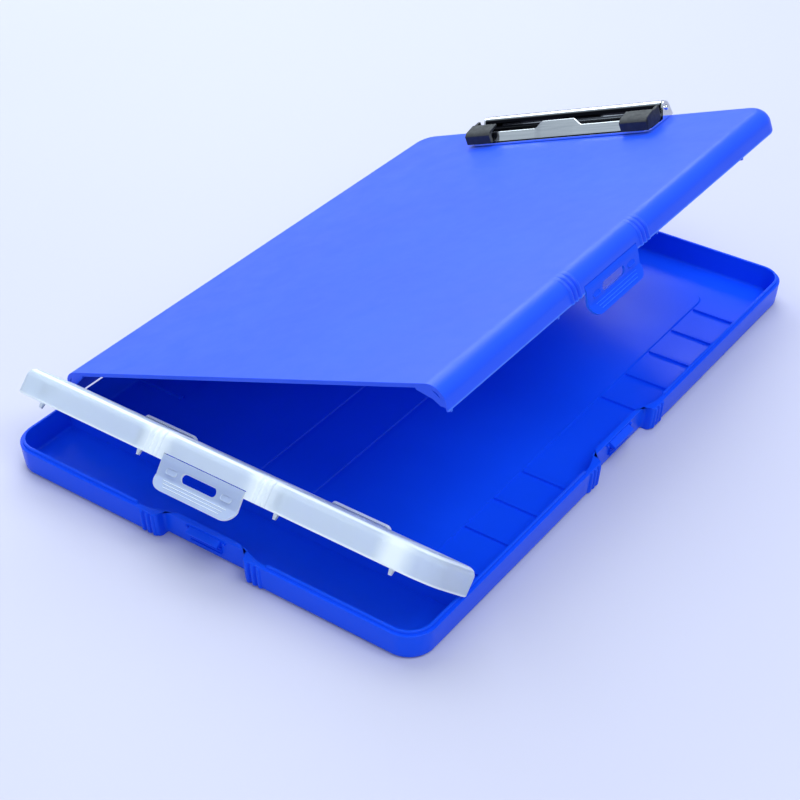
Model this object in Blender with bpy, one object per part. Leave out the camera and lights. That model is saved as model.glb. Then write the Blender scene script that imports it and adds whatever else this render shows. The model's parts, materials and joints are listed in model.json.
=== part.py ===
"""Storage clipboard: a shallow tray with a hinged lid, a see-through pen cover and a low paper clip.

Metres, +Z up.  The tray's footprint starts at the CORNER empty: +X runs along the short side,
+Y from the pen end to the clip end.  Every piece is drawn with the clipboard shut, and the
empties on the hinge lines then open the lid and the pen cover.
"""
import math

import bmesh
import bpy
from mathutils import Matrix, Vector

# ---------------------------------------------------------------- driving dimensions
WIDTH = 0.238
LENGTH = 0.352
CORNER_RADIUS = 0.014
LEDGE_Z = 0.0138          # ledge that the lid and the pen cover stand on
LIP_RISE = 0.0016         # tongue above the ledge
LIP_OUT = 0.0014          # outer face of the tongue, from the outside of the tray
LIP_IN = 0.0028           # inner face of the tongue
FLOOR_Z = 0.0020
WALL_DRAFT = 0.0010
GAP = 0.0003              # clearance between separate pieces

TOP_Z = 0.0270            # top of the lid and of the pen cover
SKIN = 0.0020             # thickness of the lid and of the pen cover
EDGE_RADIUS = 0.0080      # soft edge between the top and the skirt
SKIRT_Z = LEDGE_Z + GAP
SKIRT_FOOT = 0.0010       # the skirt is thinner where it stands outside the tongue
REBATE = 0.0019

COVER_END = 0.0417        # back edge of the pen cover
LID_START = 0.0442        # front edge of the lid

NOTCH_DEPTH = 0.0050      # latch recess in the tray wall
NOTCH_HALF = 0.0250
FRONT_NOTCH_X = 0.1192
SIDE_NOTCH_Y = 0.1757
NOTCH_FILLET = 0.0014
NOTCH_FLARE = 0.0100      # the inner flange swings in over this length each way
RIDGE_WIDTH = 0.0022
RIDGE_SPACE = 0.0011
RIDGE_RISE = 0.0009
RIDGE_COUNT = 3

FLAP_HALF = 0.0231
FLAP_THICK = 0.0014
FLAP_PIVOT_Z = 0.0165
FLAP_PIVOT_IN = FLAP_THICK / 2   # the flap's top edge is a round bead on its axis
FLAP_LOW_Z = 0.0014
FLAP_CREASE_Z = 0.0078
FLAP_CREASE_IN = 0.0024
FLAP_FOOT_IN = 0.0010
FLAP_FLUSH_Z = 0.0145     # above this the flap is flush with the skirt
FLAP_CORNER = 0.0060
WINDOW_TOP_Z = FLAP_PIVOT_Z + FLAP_THICK / 2 + GAP
SLOT_HALF = 0.0100
SLOT_LOW_Z = 0.0088
SLOT_HIGH_Z = 0.0130
CATCH_HALF = 0.0090
CATCH_NOSE = 0.0019       # depth of the catch's nose below the outside of the tray
PROBE = 0.0040            # how far a cutting tool reaches beyond what it cuts
SINK = 0.0005             # how far an added piece is sunk into what carries it

PRONG_HALF = 0.0012
PRONG_DROP = 0.0028
SIDE_PRONG_IN = LIP_IN + 0.0004
FRONT_PRONG_IN = 0.0042   # set back so that it clears the tongue as the pen cover swings
SIDE_PRONG_Y = (0.0497, 0.1330, 0.2225, 0.3120)
FRONT_PRONG_X = (0.0190, 0.0798, 0.1582, 0.2190)

LID_HINGE_X = -0.0029
LID_HINGE_Z = LEDGE_Z + GAP / 2
KNUCKLE_RADIUS = 0.0025
KNUCKLE_BORE = 0.0013
PIN_RADIUS = 0.0010
LID_HINGE_Y = (0.0950, 0.3000)
LID_KNUCKLE = 0.0190
TRAY_KNUCKLE = 0.0120
LID_PIN_LENGTH = 0.0430

COVER_HINGE_Y = 0.0385
COVER_HINGE_Z = 0.0217
COVER_HINGE_X = (0.0627, 0.1747)
COVER_KNUCKLE = 0.0240
COVER_LUG = 0.0034
LUG_CHEEK = 0.0040
LUG_FOOT = 0.0075
COVER_KNUCKLE_RADIUS = 0.0022
COVER_BORE = 0.0012
COVER_PIN_RADIUS = 0.0009
COVER_PIN_LENGTH = 0.0308
BACK_RADIUS = 0.00535     # the pen cover's back edge stays inside this radius of its hinge
DIVIDER_THICK = 0.0018
GUARD_HALF = 0.0162       # upright frosted leaves behind the pen cover's hinge
GUARD_TOP_Z = 0.0208
GUARD_FACE_Y = 0.0459
GUARD_THICK = 0.0016
GUARD_CORNER = 0.0022
POCKET_Z = 0.0070         # height of the rib behind each guard
POCKET_THICK = 0.0010

PANEL_X = ((0.0340, 0.1020), (0.1035, 0.1335), (0.1350, 0.2040))
PANEL_FRONT_Y = 0.0520
PANEL_BACK_Y = 0.3230
PANEL_CORNER = 0.0080
PANEL_RISE = 0.0007
RIB_FIRST_Y = 0.0619
RIB_PITCH = 0.0246
RIB_COUNT = 11
RIB_SKIPPED = (4, 5)
RIB_X = ((0.0035, 0.0332), (0.2048, WIDTH - 0.0035))
RIB_RISE = 0.0012

CLIP_X = 0.1190
CLIP_HALF = 0.0600
CLIP_FRONT_Y = 0.3205
CLIP_BACK_Y = 0.3465
PLATE_LOW = GAP           # heights below are measured from the lid's top face
PLATE_HIGH = 0.0013
AXLE_Y = 0.3415
AXLE_UP = 0.0058
AXLE_RADIUS = 0.0012
ROLL_RADIUS = 0.0040
SHEET = 0.0010
RIVET_X = (0.0790, 0.1590)
RIVET_Y = 0.3300
RIVET_HOLE = 0.0018
RIVET_RADIUS = 0.0015
TAB_LOW = 0.0100          # half width of the finger tab at its full height
TAB_HIGH = 0.0160         # half width where the tab starts to rise
TAB_RISE = 0.0034
SPRING_OFFSET = 0.0180
SPRING_WIRE = 0.00035
SPRING_COIL = 0.0021
SPRING_TURNS = 6
SPRING_PITCH = 0.0011

LID_OPEN = math.radians(20.85)
COVER_OPEN = math.radians(44.4)
FLAP_OPEN = math.radians(12.0)


# ---------------------------------------------------------------- scene and materials
def clear_scene():
    for item in list(bpy.data.objects):
        bpy.data.objects.remove(item, do_unlink=True)


def make_material(name, colour, roughness, metallic=0.0, transmission=0.0):
    material = bpy.data.materials.new(name)
    material.use_nodes = True
    shader = material.node_tree.nodes["Principled BSDF"]
    shader.inputs["Base Color"].default_value = (*colour, 1.0)
    shader.inputs["Roughness"].default_value = roughness
    shader.inputs["Metallic"].default_value = metallic
    shader.inputs["Transmission Weight"].default_value = transmission
    material.diffuse_color = (*colour, 1.0)
    return material


def blue_plastic(name):
    return make_material(name, (0.012, 0.062, 0.72), 0.30)


def frosted_plastic(name):
    return make_material(name, (0.66, 0.74, 0.93), 0.38, 0.0, 0.55)


def bright_steel(name):
    return make_material(name, (0.78, 0.78, 0.80), 0.12, 1.0)


def black_rubber(name):
    return make_material(name, (0.012, 0.012, 0.014), 0.55)


# ---------------------------------------------------------------- mesh helpers
def finish_object(name, mesh, material, parent=None, angle=35.0):
    thing = bpy.data.objects.new(name, mesh)
    bpy.context.collection.objects.link(thing)
    mesh.materials.clear()
    mesh.materials.append(material)
    mesh.shade_smooth()
    mesh.set_sharp_from_angle(angle=math.radians(angle))
    thing.parent = parent
    return thing


def mesh_from(verts, faces, name="shape"):
    mesh = bpy.data.meshes.new(name)
    mesh.from_pydata([tuple(v) for v in verts], [], faces)
    shape = bmesh.new()
    shape.from_mesh(mesh)
    bmesh.ops.recalc_face_normals(shape, faces=shape.faces)
    shape.to_mesh(mesh)
    shape.free()
    return mesh


def loft(rows, name="shape"):
    """Closed solid through equal rings of points, capped at both ends."""
    count = len(rows[0])
    verts = [point for row in rows for point in row]
    faces = []
    for level in range(len(rows) - 1):
        low = level * count
        high = low + count
        for k in range(count):
            n = (k + 1) % count
            faces.append((low + k, low + n, high + n, high + k))
    faces.append(tuple(reversed(range(count))))
    last = (len(rows) - 1) * count
    faces.append(tuple(range(last, last + count)))
    return mesh_from(verts, faces, name)


def box_mesh(low, high):
    centre = [(a + b) / 2 for a, b in zip(low, high)]
    size = [b - a for a, b in zip(low, high)]
    shape = bmesh.new()
    place = Matrix.Translation(centre) @ Matrix.Diagonal((*size, 1.0))
    bmesh.ops.create_cube(shape, size=1.0, matrix=place)
    mesh = bpy.data.meshes.new("box")
    shape.to_mesh(mesh)
    shape.free()
    return mesh


def prism_mesh(outline, axis, low, high):
    """Extrude a closed outline of (a, b) pairs along an axis; a and b are the other two axes."""
    def place(a, b, c):
        if axis == "x":
            return (c, a, b)
        if axis == "y":
            return (a, c, b)
        return (a, b, c)
    rows = [[place(a, b, level) for a, b in outline] for level in (low, high)]
    return loft(rows, "prism")


def arc(centre, radius, start, end, steps):
    points = []
    for k in range(steps + 1):
        angle = math.radians(start + (end - start) * k / steps)
        points.append((centre[0] + radius * math.cos(angle), centre[1] + radius * math.sin(angle)))
    return points


def rod_mesh(axis, centre, radius, low, high, sides=20):
    """Cylinder along an axis; centre is the pair of the other two coordinates."""
    outline = arc(centre, radius, 0, 360 - 360 / sides, sides - 1)
    return prism_mesh(outline, axis, low, high)


def temporary(mesh):
    thing = bpy.data.objects.new("tool", mesh)
    bpy.context.collection.objects.link(thing)
    return thing


def combine(mesh, tools, operation):
    """Apply one exact Boolean per tool mesh and return the new mesh."""
    body = temporary(mesh)
    helpers = []
    for tool in tools:
        helper = temporary(tool)
        helper.display_type = "WIRE"
        helper.hide_render = True
        helpers.append(helper)
        modifier = body.modifiers.new("step", "BOOLEAN")
        modifier.operation = operation
        modifier.solver = "EXACT"
        modifier.object = helper
    view = bpy.context.view_layer
    view.update()
    ready = body.evaluated_get(bpy.context.evaluated_depsgraph_get())
    result = bpy.data.meshes.new_from_object(ready)
    for item in helpers + [body]:
        bpy.data.objects.remove(item, do_unlink=True)
    return result


# ---------------------------------------------------------------- the shared outline
def smooth_step(s):
    return s * s * (3 - 2 * s)


def notch_half_path():
    """Stations from the far side of the ridges to the middle of one recess.

    Each is (along outside, depth outside, along inside, depth inside, ridge, lip).
    """
    far = -NOTCH_HALF - 0.0010
    slope = RIDGE_WIDTH * 0.16
    outside = []
    for ridge in reversed(range(RIDGE_COUNT)):
        start = far - ridge * (RIDGE_WIDTH + RIDGE_SPACE) - RIDGE_WIDTH
        outside.append((start, 0.0, 0))
        outside.append((start + slope, 0.0, 1))
        outside.append((start + RIDGE_WIDTH - slope, 0.0, 1))
        outside.append((start + RIDGE_WIDTH, 0.0, 0))
    reach = NOTCH_FILLET
    for a, d in arc((-NOTCH_HALF - reach, reach), reach, -90, 0, 3)[1:]:
        outside.append((a, d, 0))
    turn = arc((-NOTCH_HALF + reach, NOTCH_DEPTH - reach), reach, 180, 90, 3)
    for a, d in turn:
        outside.append((a, d, 0))
    outside.append((-NOTCH_HALF + NOTCH_FLARE, NOTCH_DEPTH, 0))
    stations = []
    last = len(outside) - 1
    lip_end = outside[0][0] - 0.0030
    stations.append((lip_end, 0.0, lip_end, 0.0, 0, 1))
    stations.append((lip_end + 0.0006, 0.0, lip_end + 0.0006, 0.0, 0, 0))
    for k, (along, depth, ridge) in enumerate(outside):
        s = k / last
        start = outside[0][0]
        inner_along = start + (-NOTCH_HALF + NOTCH_FLARE - start) * s
        stations.append((along, depth, inner_along, NOTCH_DEPTH * smooth_step(s), ridge, 0))
    return stations


def wall_stations(length, notch_at):
    """Stations of one straight wall between its two rounded corners."""
    start = CORNER_RADIUS
    end = length - CORNER_RADIUS
    if notch_at is None:
        return [(start, 0, start, 0, 0, 1), (end, 0, end, 0, 0, 1)]
    half = notch_half_path()
    stations = [(start, 0, start, 0, 0, 1)]
    for along, depth, inner, inner_depth, ridge, lip in half:
        stations.append((notch_at + along, depth, notch_at + inner, inner_depth, ridge, lip))
    for along, depth, inner, inner_depth, ridge, lip in reversed(half):
        stations.append((notch_at - along, depth, notch_at - inner, inner_depth, ridge, lip))
    stations.append((end, 0, end, 0, 0, 1))
    return stations


def perimeter(corner_steps):
    """The whole outline: (origin, along, inward, wall station), or no station on a corner."""
    sides = [
        (Vector((0, 0)), Vector((1, 0)), Vector((0, 1)), WIDTH, FRONT_NOTCH_X),
        (Vector((WIDTH, 0)), Vector((0, 1)), Vector((-1, 0)), LENGTH, SIDE_NOTCH_Y),
        (Vector((WIDTH, LENGTH)), Vector((-1, 0)), Vector((0, -1)), WIDTH, None),
        (Vector((0, LENGTH)), Vector((0, -1)), Vector((1, 0)), LENGTH, None),
    ]
    path = []
    for origin, along, inward, length, notch in sides:
        for station in wall_stations(length, notch):
            path.append((origin, along, inward, station))
        centre = origin + along * (length - CORNER_RADIUS) + inward * CORNER_RADIUS
        for k in range(1, corner_steps):
            turn = math.radians(90 * k / corner_steps)
            outward = -inward * math.cos(turn) + along * math.sin(turn)
            path.append((centre, None, -outward, None))
    return path


def ring(path, inset, height, mix=0.0, ridge=0.0, notch=1.0, notch_height=None):
    """One ring of points: inset from the outside, mixed towards the inner flange line."""
    points = []
    for origin, along, inward, station in path:
        if station is None:
            spot = origin - inward * (CORNER_RADIUS - inset)
            points.append((spot.x, spot.y, height))
            continue
        out_at, out_depth, in_at, in_depth, is_ridge, lip = station
        place = out_at + (in_at - out_at) * mix * notch
        depth = (out_depth + (in_depth - out_depth) * mix) * notch + inset
        depth -= RIDGE_RISE * is_ridge * ridge
        spot = origin + along * place + inward * depth
        level = height
        if notch_height is not None and not lip:
            level = notch_height
        points.append((spot.x, spot.y, level))
    return points


# ---------------------------------------------------------------- tray
def tray_shell(corner_steps):
    path = perimeter(corner_steps)
    ledge_in = LEDGE_Z + 0.00004
    rows = [
        ring(path, 0.0030, 0.0, ridge=0.7),
        ring(path, 0.0018, 0.0004, ridge=1.0),
        ring(path, WALL_DRAFT, 0.0016, ridge=1.0),
        ring(path, 0.0001, LEDGE_Z - 0.0012, ridge=1.0),
        ring(path, 0.0, LEDGE_Z - 0.0003),
        ring(path, 0.0002, LEDGE_Z),
        ring(path, LIP_OUT, LEDGE_Z, mix=0.15),
        ring(path, LIP_OUT + 0.0001, LEDGE_Z + LIP_RISE - 0.0003, mix=0.45, notch_height=ledge_in),
        ring(path, LIP_OUT + 0.0003, LEDGE_Z + LIP_RISE, mix=0.65, notch_height=ledge_in),
        ring(path, LIP_IN - 0.0003, LEDGE_Z + LIP_RISE, mix=0.95, notch_height=ledge_in),
        ring(path, LIP_IN, LEDGE_Z + LIP_RISE - 0.0003, mix=1.0, notch_height=LEDGE_Z - 0.0002),
        ring(path, LIP_IN + 0.0008, FLOOR_Z + 0.0014, mix=1.0),
        ring(path, LIP_IN + 0.0012, FLOOR_Z + 0.0004, mix=1.0),
        ring(path, LIP_IN + 0.0022, FLOOR_Z, mix=1.0),
    ]
    return loft(rows, "tray")


def floor_panel_meshes():
    """Low raised panels on the tray floor, with a strip between them."""
    front = PANEL_FRONT_Y
    back = PANEL_BACK_Y
    slope = 0.0005
    tight = 0.0006
    meshes = []
    for k, (left, right) in enumerate(PANEL_X):
        outline = []
        left_round = PANEL_CORNER if k == 0 else tight
        right_round = PANEL_CORNER if k == len(PANEL_X) - 1 else tight
        outline += arc((right - right_round, back - right_round), right_round, 0, 90, 6)
        outline += arc((left + left_round, back - left_round), left_round, 90, 180, 6)
        outline += arc((left + left_round, front + left_round), left_round, 180, 270, 6)
        outline += arc((right - right_round, front + right_round), right_round, 270, 360, 6)
        rows = []
        centre_x = (left + right) / 2
        centre_y = (front + back) / 2
        for level, shrink in ((FLOOR_Z - SINK, 0.0), (FLOOR_Z, 0.0), (FLOOR_Z + PANEL_RISE, slope)):
            fit_x = 1 - shrink / ((right - left) / 2)
            fit_y = 1 - shrink / ((back - front) / 2)
            ring_points = []
            for x, y in outline:
                ring_points.append((centre_x + (x - centre_x) * fit_x,
                                    centre_y + (y - centre_y) * fit_y, level))
            rows.append(ring_points)
        meshes.append(loft(rows, "panel"))
    return meshes


def floor_rib_meshes():
    """Short cross ribs between the raised panel and the two long walls."""
    foot = 0.0012
    crest = 0.0009
    high = FLOOR_Z + RIB_RISE
    meshes = []
    for k in range(RIB_COUNT):
        if k in RIB_SKIPPED:
            continue
        middle = RIB_FIRST_Y + RIB_PITCH * k
        for left, right in RIB_X:
            outline = [(middle - foot, FLOOR_Z - SINK), (middle + foot, FLOOR_Z - SINK),
                       (middle + crest, high), (middle - crest, high)]
            meshes.append(prism_mesh(outline, "x", left, right))
    return meshes


def divider_meshes():
    """Cross wall behind the pens, with the lugs of the pen cover's hinge."""
    low = FLOOR_Z - SINK
    wall_y = COVER_HINGE_Y
    half = DIVIDER_THICK / 2
    top = COVER_HINGE_Z - COVER_KNUCKLE_RADIUS - 0.0005
    end = LIP_IN + 0.0006
    shoulder = 0.0090
    wall = [(end, low), (WIDTH - end, low), (WIDTH - end, LEDGE_Z - SINK),
            (WIDTH - shoulder, top), (shoulder, top), (end, LEDGE_Z - SINK)]
    meshes = [prism_mesh(wall, "y", wall_y - half, wall_y + half)]
    for middle in COVER_HINGE_X:
        reach = COVER_KNUCKLE / 2 + GAP
        for side in (-1, 1):
            near = middle + side * reach
            far = middle + side * (reach + COVER_LUG)
            radius = COVER_KNUCKLE_RADIUS
            outline = arc((wall_y, COVER_HINGE_Z), radius, 0, 180, 10)
            outline += [(wall_y - radius, top - LUG_CHEEK), (wall_y - half, top - LUG_FOOT)]
            outline += [(wall_y + half, top - LUG_FOOT), (wall_y + radius, top - LUG_CHEEK)]
            meshes.append(prism_mesh(outline, "x", min(near, far), max(near, far)))
    return meshes


def pocket_meshes():
    """What holds the two hinge guards: a pair of webs in front of each and a rib behind it."""
    meshes = []
    web_half = 0.0006
    web_in = 0.0030
    low = FLOOR_Z - SINK
    face = GUARD_FACE_Y - GAP
    back = GUARD_FACE_Y + GUARD_THICK + GAP
    for middle in COVER_HINGE_X:
        left = middle - GUARD_HALF
        right = middle + GUARD_HALF
        for edge in (left + web_in, right - web_in):
            web = [(COVER_HINGE_Y, low), (face, low), (face, 0.0150), (COVER_HINGE_Y, 0.0100)]
            meshes.append(prism_mesh(web, "x", edge - web_half, edge + web_half))
        meshes.append(box_mesh((left, back, low), (right, back + POCKET_THICK, POCKET_Z)))
    return meshes


def guard_mesh(middle):
    """Upright leaf with rounded top corners that keeps paper off the pen cover's hinge."""
    left = middle - GUARD_HALF
    right = middle + GUARD_HALF
    radius = GUARD_CORNER
    top = GUARD_TOP_Z - radius
    low = FLOOR_Z + GAP
    outline = [(left, low), (right, low)]
    outline += arc((right - radius, top), radius, 0, 90, 6)
    outline += arc((left + radius, top), radius, 90, 180, 6)
    return prism_mesh(outline, "y", GUARD_FACE_Y, GUARD_FACE_Y + GUARD_THICK)


def catch_meshes():
    """Wedge and grip lines on a recess wall, drawn with +X along the wall and +Y inwards."""
    wall = NOTCH_DEPTH + 0.0016
    proud = 0.0043
    wedge = [(wall, 0.0126), (0.0046, 0.0124), (CATCH_NOSE, 0.0109), (CATCH_NOSE, 0.0101),
             (wall, 0.0098)]
    meshes = [prism_mesh(wedge, "x", -CATCH_HALF, CATCH_HALF)]
    line_half = 0.0004
    for k in range(3):
        level = 0.0082 - 0.0016 * k
        line = [(wall, level - line_half), (wall, level + line_half),
                (proud, level + line_half / 2), (proud, level - line_half / 2)]
        meshes.append(prism_mesh(line, "x", -CATCH_HALF, CATCH_HALF))
    stub_at = CATCH_HALF + 0.0018
    stub_half = 0.0007
    stub = [(wall, 0.0108), (wall, 0.0124), (proud, 0.0121), (proud, 0.0111)]
    for at in (-stub_at, stub_at):
        meshes.append(prism_mesh(stub, "x", at - stub_half, at + stub_half))
    return meshes


def at_front_notch(mesh):
    mesh.transform(Matrix.Translation((FRONT_NOTCH_X, 0, 0)))
    return mesh


def at_side_notch(mesh):
    turn = Matrix.Rotation(math.radians(90), 4, "Z")
    mesh.transform(Matrix.Translation((WIDTH, SIDE_NOTCH_Y, 0)) @ turn)
    return mesh


def knuckle_parts(middle, length, web_low, web_high):
    """Barrel on the lid's hinge line plus the web that ties it to a wall."""
    low = middle - length / 2
    high = middle + length / 2
    centre = (LID_HINGE_X, LID_HINGE_Z)
    barrel = rod_mesh("y", centre, KNUCKLE_RADIUS, low, high, 24)
    inset = 0.0001
    web = box_mesh((LID_HINGE_X, low + inset, web_low), (SKIRT_FOOT + inset, high - inset, web_high))
    return [barrel, web]


def tray_mesh(corner_steps):
    mesh = tray_shell(corner_steps)
    adds = floor_panel_meshes() + floor_rib_meshes()
    adds += divider_meshes() + pocket_meshes()
    adds += [at_front_notch(mesh_part) for mesh_part in catch_meshes()]
    adds += [at_side_notch(mesh_part) for mesh_part in catch_meshes()]
    bores = []
    for middle in LID_HINGE_Y:
        reach = LID_KNUCKLE / 2 + GAP + TRAY_KNUCKLE / 2
        for side in (-1, 1):
            low = LID_HINGE_Z - KNUCKLE_RADIUS + 0.0001
            adds += knuckle_parts(middle + side * reach, TRAY_KNUCKLE, low, LEDGE_Z - 0.0001)
        whole = LID_KNUCKLE + 2 * TRAY_KNUCKLE + 0.0040
        centre = (LID_HINGE_X, LID_HINGE_Z)
        bores.append(rod_mesh("y", centre, KNUCKLE_BORE, middle - whole / 2, middle + whole / 2))
    for middle in COVER_HINGE_X:
        whole = COVER_KNUCKLE / 2 + COVER_LUG + 0.0020
        centre = (COVER_HINGE_Y, COVER_HINGE_Z)
        bores.append(rod_mesh("x", centre, COVER_BORE, middle - whole, middle + whole))
    mesh = combine(mesh, adds, "UNION")
    return combine(mesh, bores, "DIFFERENCE")


# ---------------------------------------------------------------- lid and pen cover
def shell_mesh(corner_steps, edge_steps):
    """The whole top shell; the lid and the pen cover are cut from it."""
    path = perimeter(corner_steps)
    rows = []
    for k in range(edge_steps + 1):
        turn = math.radians(90 * (1 - k / edge_steps))
        inset = EDGE_RADIUS * (1 - math.cos(turn))
        height = TOP_Z - EDGE_RADIUS * (1 - math.sin(turn))
        strength = min(1.0, 1.6 * k / edge_steps)
        rows.append(ring(path, inset, height, notch=0, ridge=strength))
    rows.append(ring(path, 0.0, SKIRT_Z + 0.0003, notch=0, ridge=1.0))
    rows.append(ring(path, 0.0002, SKIRT_Z, notch=0, ridge=0.6))
    rows.append(ring(path, SKIRT_FOOT, SKIRT_Z, notch=0))
    rows.append(ring(path, SKIRT_FOOT, SKIRT_Z + REBATE, notch=0))
    rows.append(ring(path, SKIN, SKIRT_Z + REBATE + 0.0004, notch=0))
    inner = EDGE_RADIUS - SKIN
    for k in range(edge_steps + 1):
        turn = math.radians(90 * k / edge_steps)
        inset = SKIN + inner * (1 - math.cos(turn))
        height = TOP_Z - SKIN - inner * (1 - math.sin(turn))
        rows.append(ring(path, inset, height, notch=0))
    return loft(rows, "shell")


def latch_window():
    """Opening in the skirt that the latch flap hangs in, +X along the wall, +Y inwards."""
    half = FLAP_HALF + GAP
    return box_mesh((-half, -PROBE, SKIRT_Z - PROBE), (half, SKIN + 0.0006, WINDOW_TOP_Z))


def prong_mesh(inner):
    """Small locating prong that reaches down inside the tray's tongue, with its web."""
    low = SKIRT_Z - PRONG_DROP
    root = SKIN - 0.0006
    under = TOP_Z - SKIN
    outline = [(inner, low), (inner + 0.0014, low), (inner + 0.0017, SKIRT_Z + 0.0030),
               (0.0094, under + 0.0004), (root, under - 0.0030), (root, SKIRT_Z + 0.0024),
               (inner, SKIRT_Z + 0.0022)]
    return prism_mesh(outline, "x", -PRONG_HALF, PRONG_HALF)


def side_prongs():
    turn = Matrix.Rotation(math.radians(90), 4, "Z")
    meshes = []
    for y in SIDE_PRONG_Y:
        mesh = prong_mesh(SIDE_PRONG_IN)
        mesh.transform(Matrix.Translation((WIDTH, y, 0)) @ turn)
        meshes.append(mesh)
    return meshes


def front_prongs():
    meshes = []
    for x in FRONT_PRONG_X:
        mesh = prong_mesh(FRONT_PRONG_IN)
        mesh.transform(Matrix.Translation((x, 0, 0)))
        meshes.append(mesh)
    return meshes


def end_gusset(mirror):
    """Web that closes the open end of the lid's side skirt."""
    reach = 0.0135
    low = SKIRT_Z + REBATE + 0.0006
    outline = [(SKIN - 0.0008, low), (SKIN + 0.0012, low), (SKIN + 0.0040, low + 0.0032),
               (reach, TOP_Z - SKIN - 0.0008), (reach, TOP_Z - SKIN + 0.0006),
               (EDGE_RADIUS - 0.0018, TOP_Z - SKIN + 0.0006), (SKIN - 0.0008, TOP_Z - EDGE_RADIUS)]
    if mirror:
        outline = [(WIDTH - x, z) for x, z in outline]
    return prism_mesh(outline, "y", LID_START, LID_START + 0.0016)


def lid_mesh(corner_steps, edge_steps):
    mesh = shell_mesh(corner_steps, edge_steps)
    keep = box_mesh((-0.02, LID_START, 0), (WIDTH + 0.02, LENGTH + 0.02, 0.06))
    mesh = combine(mesh, [keep], "INTERSECT")
    adds = [end_gusset(False), end_gusset(True)]
    adds += side_prongs()
    for middle in LID_HINGE_Y:
        adds += knuckle_parts(middle, LID_KNUCKLE, SKIRT_Z + 0.0001, LID_HINGE_Z + KNUCKLE_RADIUS)
    mesh = combine(mesh, adds, "UNION")
    cuts = [at_side_notch(latch_window())]
    for middle in LID_HINGE_Y:
        half = LID_KNUCKLE / 2 + 0.0020
        centre = (LID_HINGE_X, LID_HINGE_Z)
        cuts.append(rod_mesh("y", centre, KNUCKLE_BORE, middle - half, middle + half))
        for side in (-1, 1):
            middle_y = middle + side * (LID_KNUCKLE / 2 + GAP + TRAY_KNUCKLE / 2)
            room = TRAY_KNUCKLE / 2 + 0.0002
            reach = KNUCKLE_RADIUS + GAP
            cuts.append(rod_mesh("y", centre, reach, middle_y - room, middle_y + room, 24))
    for x in RIVET_X:
        cuts.append(rod_mesh("z", (x, RIVET_Y), RIVET_HOLE, TOP_Z - PROBE, TOP_Z + PROBE, 16))
    return combine(mesh, cuts, "DIFFERENCE")


def back_round():
    """Cutter that rounds the pen cover's back edge about its hinge, to pass the shut lid."""
    outline = arc((COVER_HINGE_Y, COVER_HINGE_Z), BACK_RADIUS, 0, 90, 12)
    outline += [(COVER_HINGE_Y, TOP_Z + PROBE), (LID_START, TOP_Z + PROBE),
                (LID_START, COVER_HINGE_Z)]
    return prism_mesh(outline, "x", -PROBE, WIDTH + PROBE)


def swing_room(radius, low, high):
    """Cutter for what would dip below the ledge behind the pen cover's hinge."""
    outline = arc((COVER_HINGE_Y, COVER_HINGE_Z), radius, -90, -38, 8)
    back = COVER_END + PROBE
    outline += [(back, outline[-1][1]), (back, SKIRT_Z - PROBE), (COVER_HINGE_Y, SKIRT_Z - PROBE)]
    return prism_mesh(outline, "x", low, high)


def cover_mesh(corner_steps, edge_steps):
    mesh = shell_mesh(corner_steps, edge_steps)
    keep = box_mesh((-0.02, -0.02, 0), (WIDTH + 0.02, COVER_END, 0.06))
    mesh = combine(mesh, [keep], "INTERSECT")
    adds = front_prongs()
    for x in COVER_HINGE_X:
        low = x - COVER_KNUCKLE / 2
        high = x + COVER_KNUCKLE / 2
        centre = (COVER_HINGE_Y, COVER_HINGE_Z)
        adds.append(rod_mesh("x", centre, COVER_KNUCKLE_RADIUS, low, high, 24))
        web = box_mesh((low + 0.0001, COVER_HINGE_Y - 0.0007, COVER_HINGE_Z),
                       (high - 0.0001, COVER_HINGE_Y + 0.0007, TOP_Z - SKIN + 0.0006))
        adds.append(web)
    mesh = combine(mesh, adds, "UNION")
    cuts = [at_front_notch(latch_window()), back_round()]
    over_ledge = COVER_HINGE_Z - SKIRT_Z
    over_lip = COVER_HINGE_Z - LEDGE_Z - LIP_RISE - GAP
    cuts.append(swing_room(over_ledge, -0.002, WIDTH + 0.002))
    cuts.append(swing_room(over_lip, SKIRT_FOOT, WIDTH - SKIRT_FOOT))
    for x in COVER_HINGE_X:
        half = COVER_KNUCKLE / 2 + 0.0020
        centre = (COVER_HINGE_Y, COVER_HINGE_Z)
        cuts.append(rod_mesh("x", centre, COVER_BORE, x - half, x + half))
    return combine(mesh, cuts, "DIFFERENCE")


# ---------------------------------------------------------------- latch flaps
def flap_face(z):
    """Depth of the flap's outer face below the skirt's outer face, at height z."""
    if z >= FLAP_FLUSH_Z:
        return 0.0
    if z >= FLAP_CREASE_Z:
        return FLAP_CREASE_IN * (FLAP_FLUSH_Z - z) / (FLAP_FLUSH_Z - FLAP_CREASE_Z)
    slope = (FLAP_CREASE_IN - FLAP_FOOT_IN) / (FLAP_CREASE_Z - FLAP_LOW_Z)
    return FLAP_FOOT_IN + slope * (z - FLAP_LOW_Z)


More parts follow.
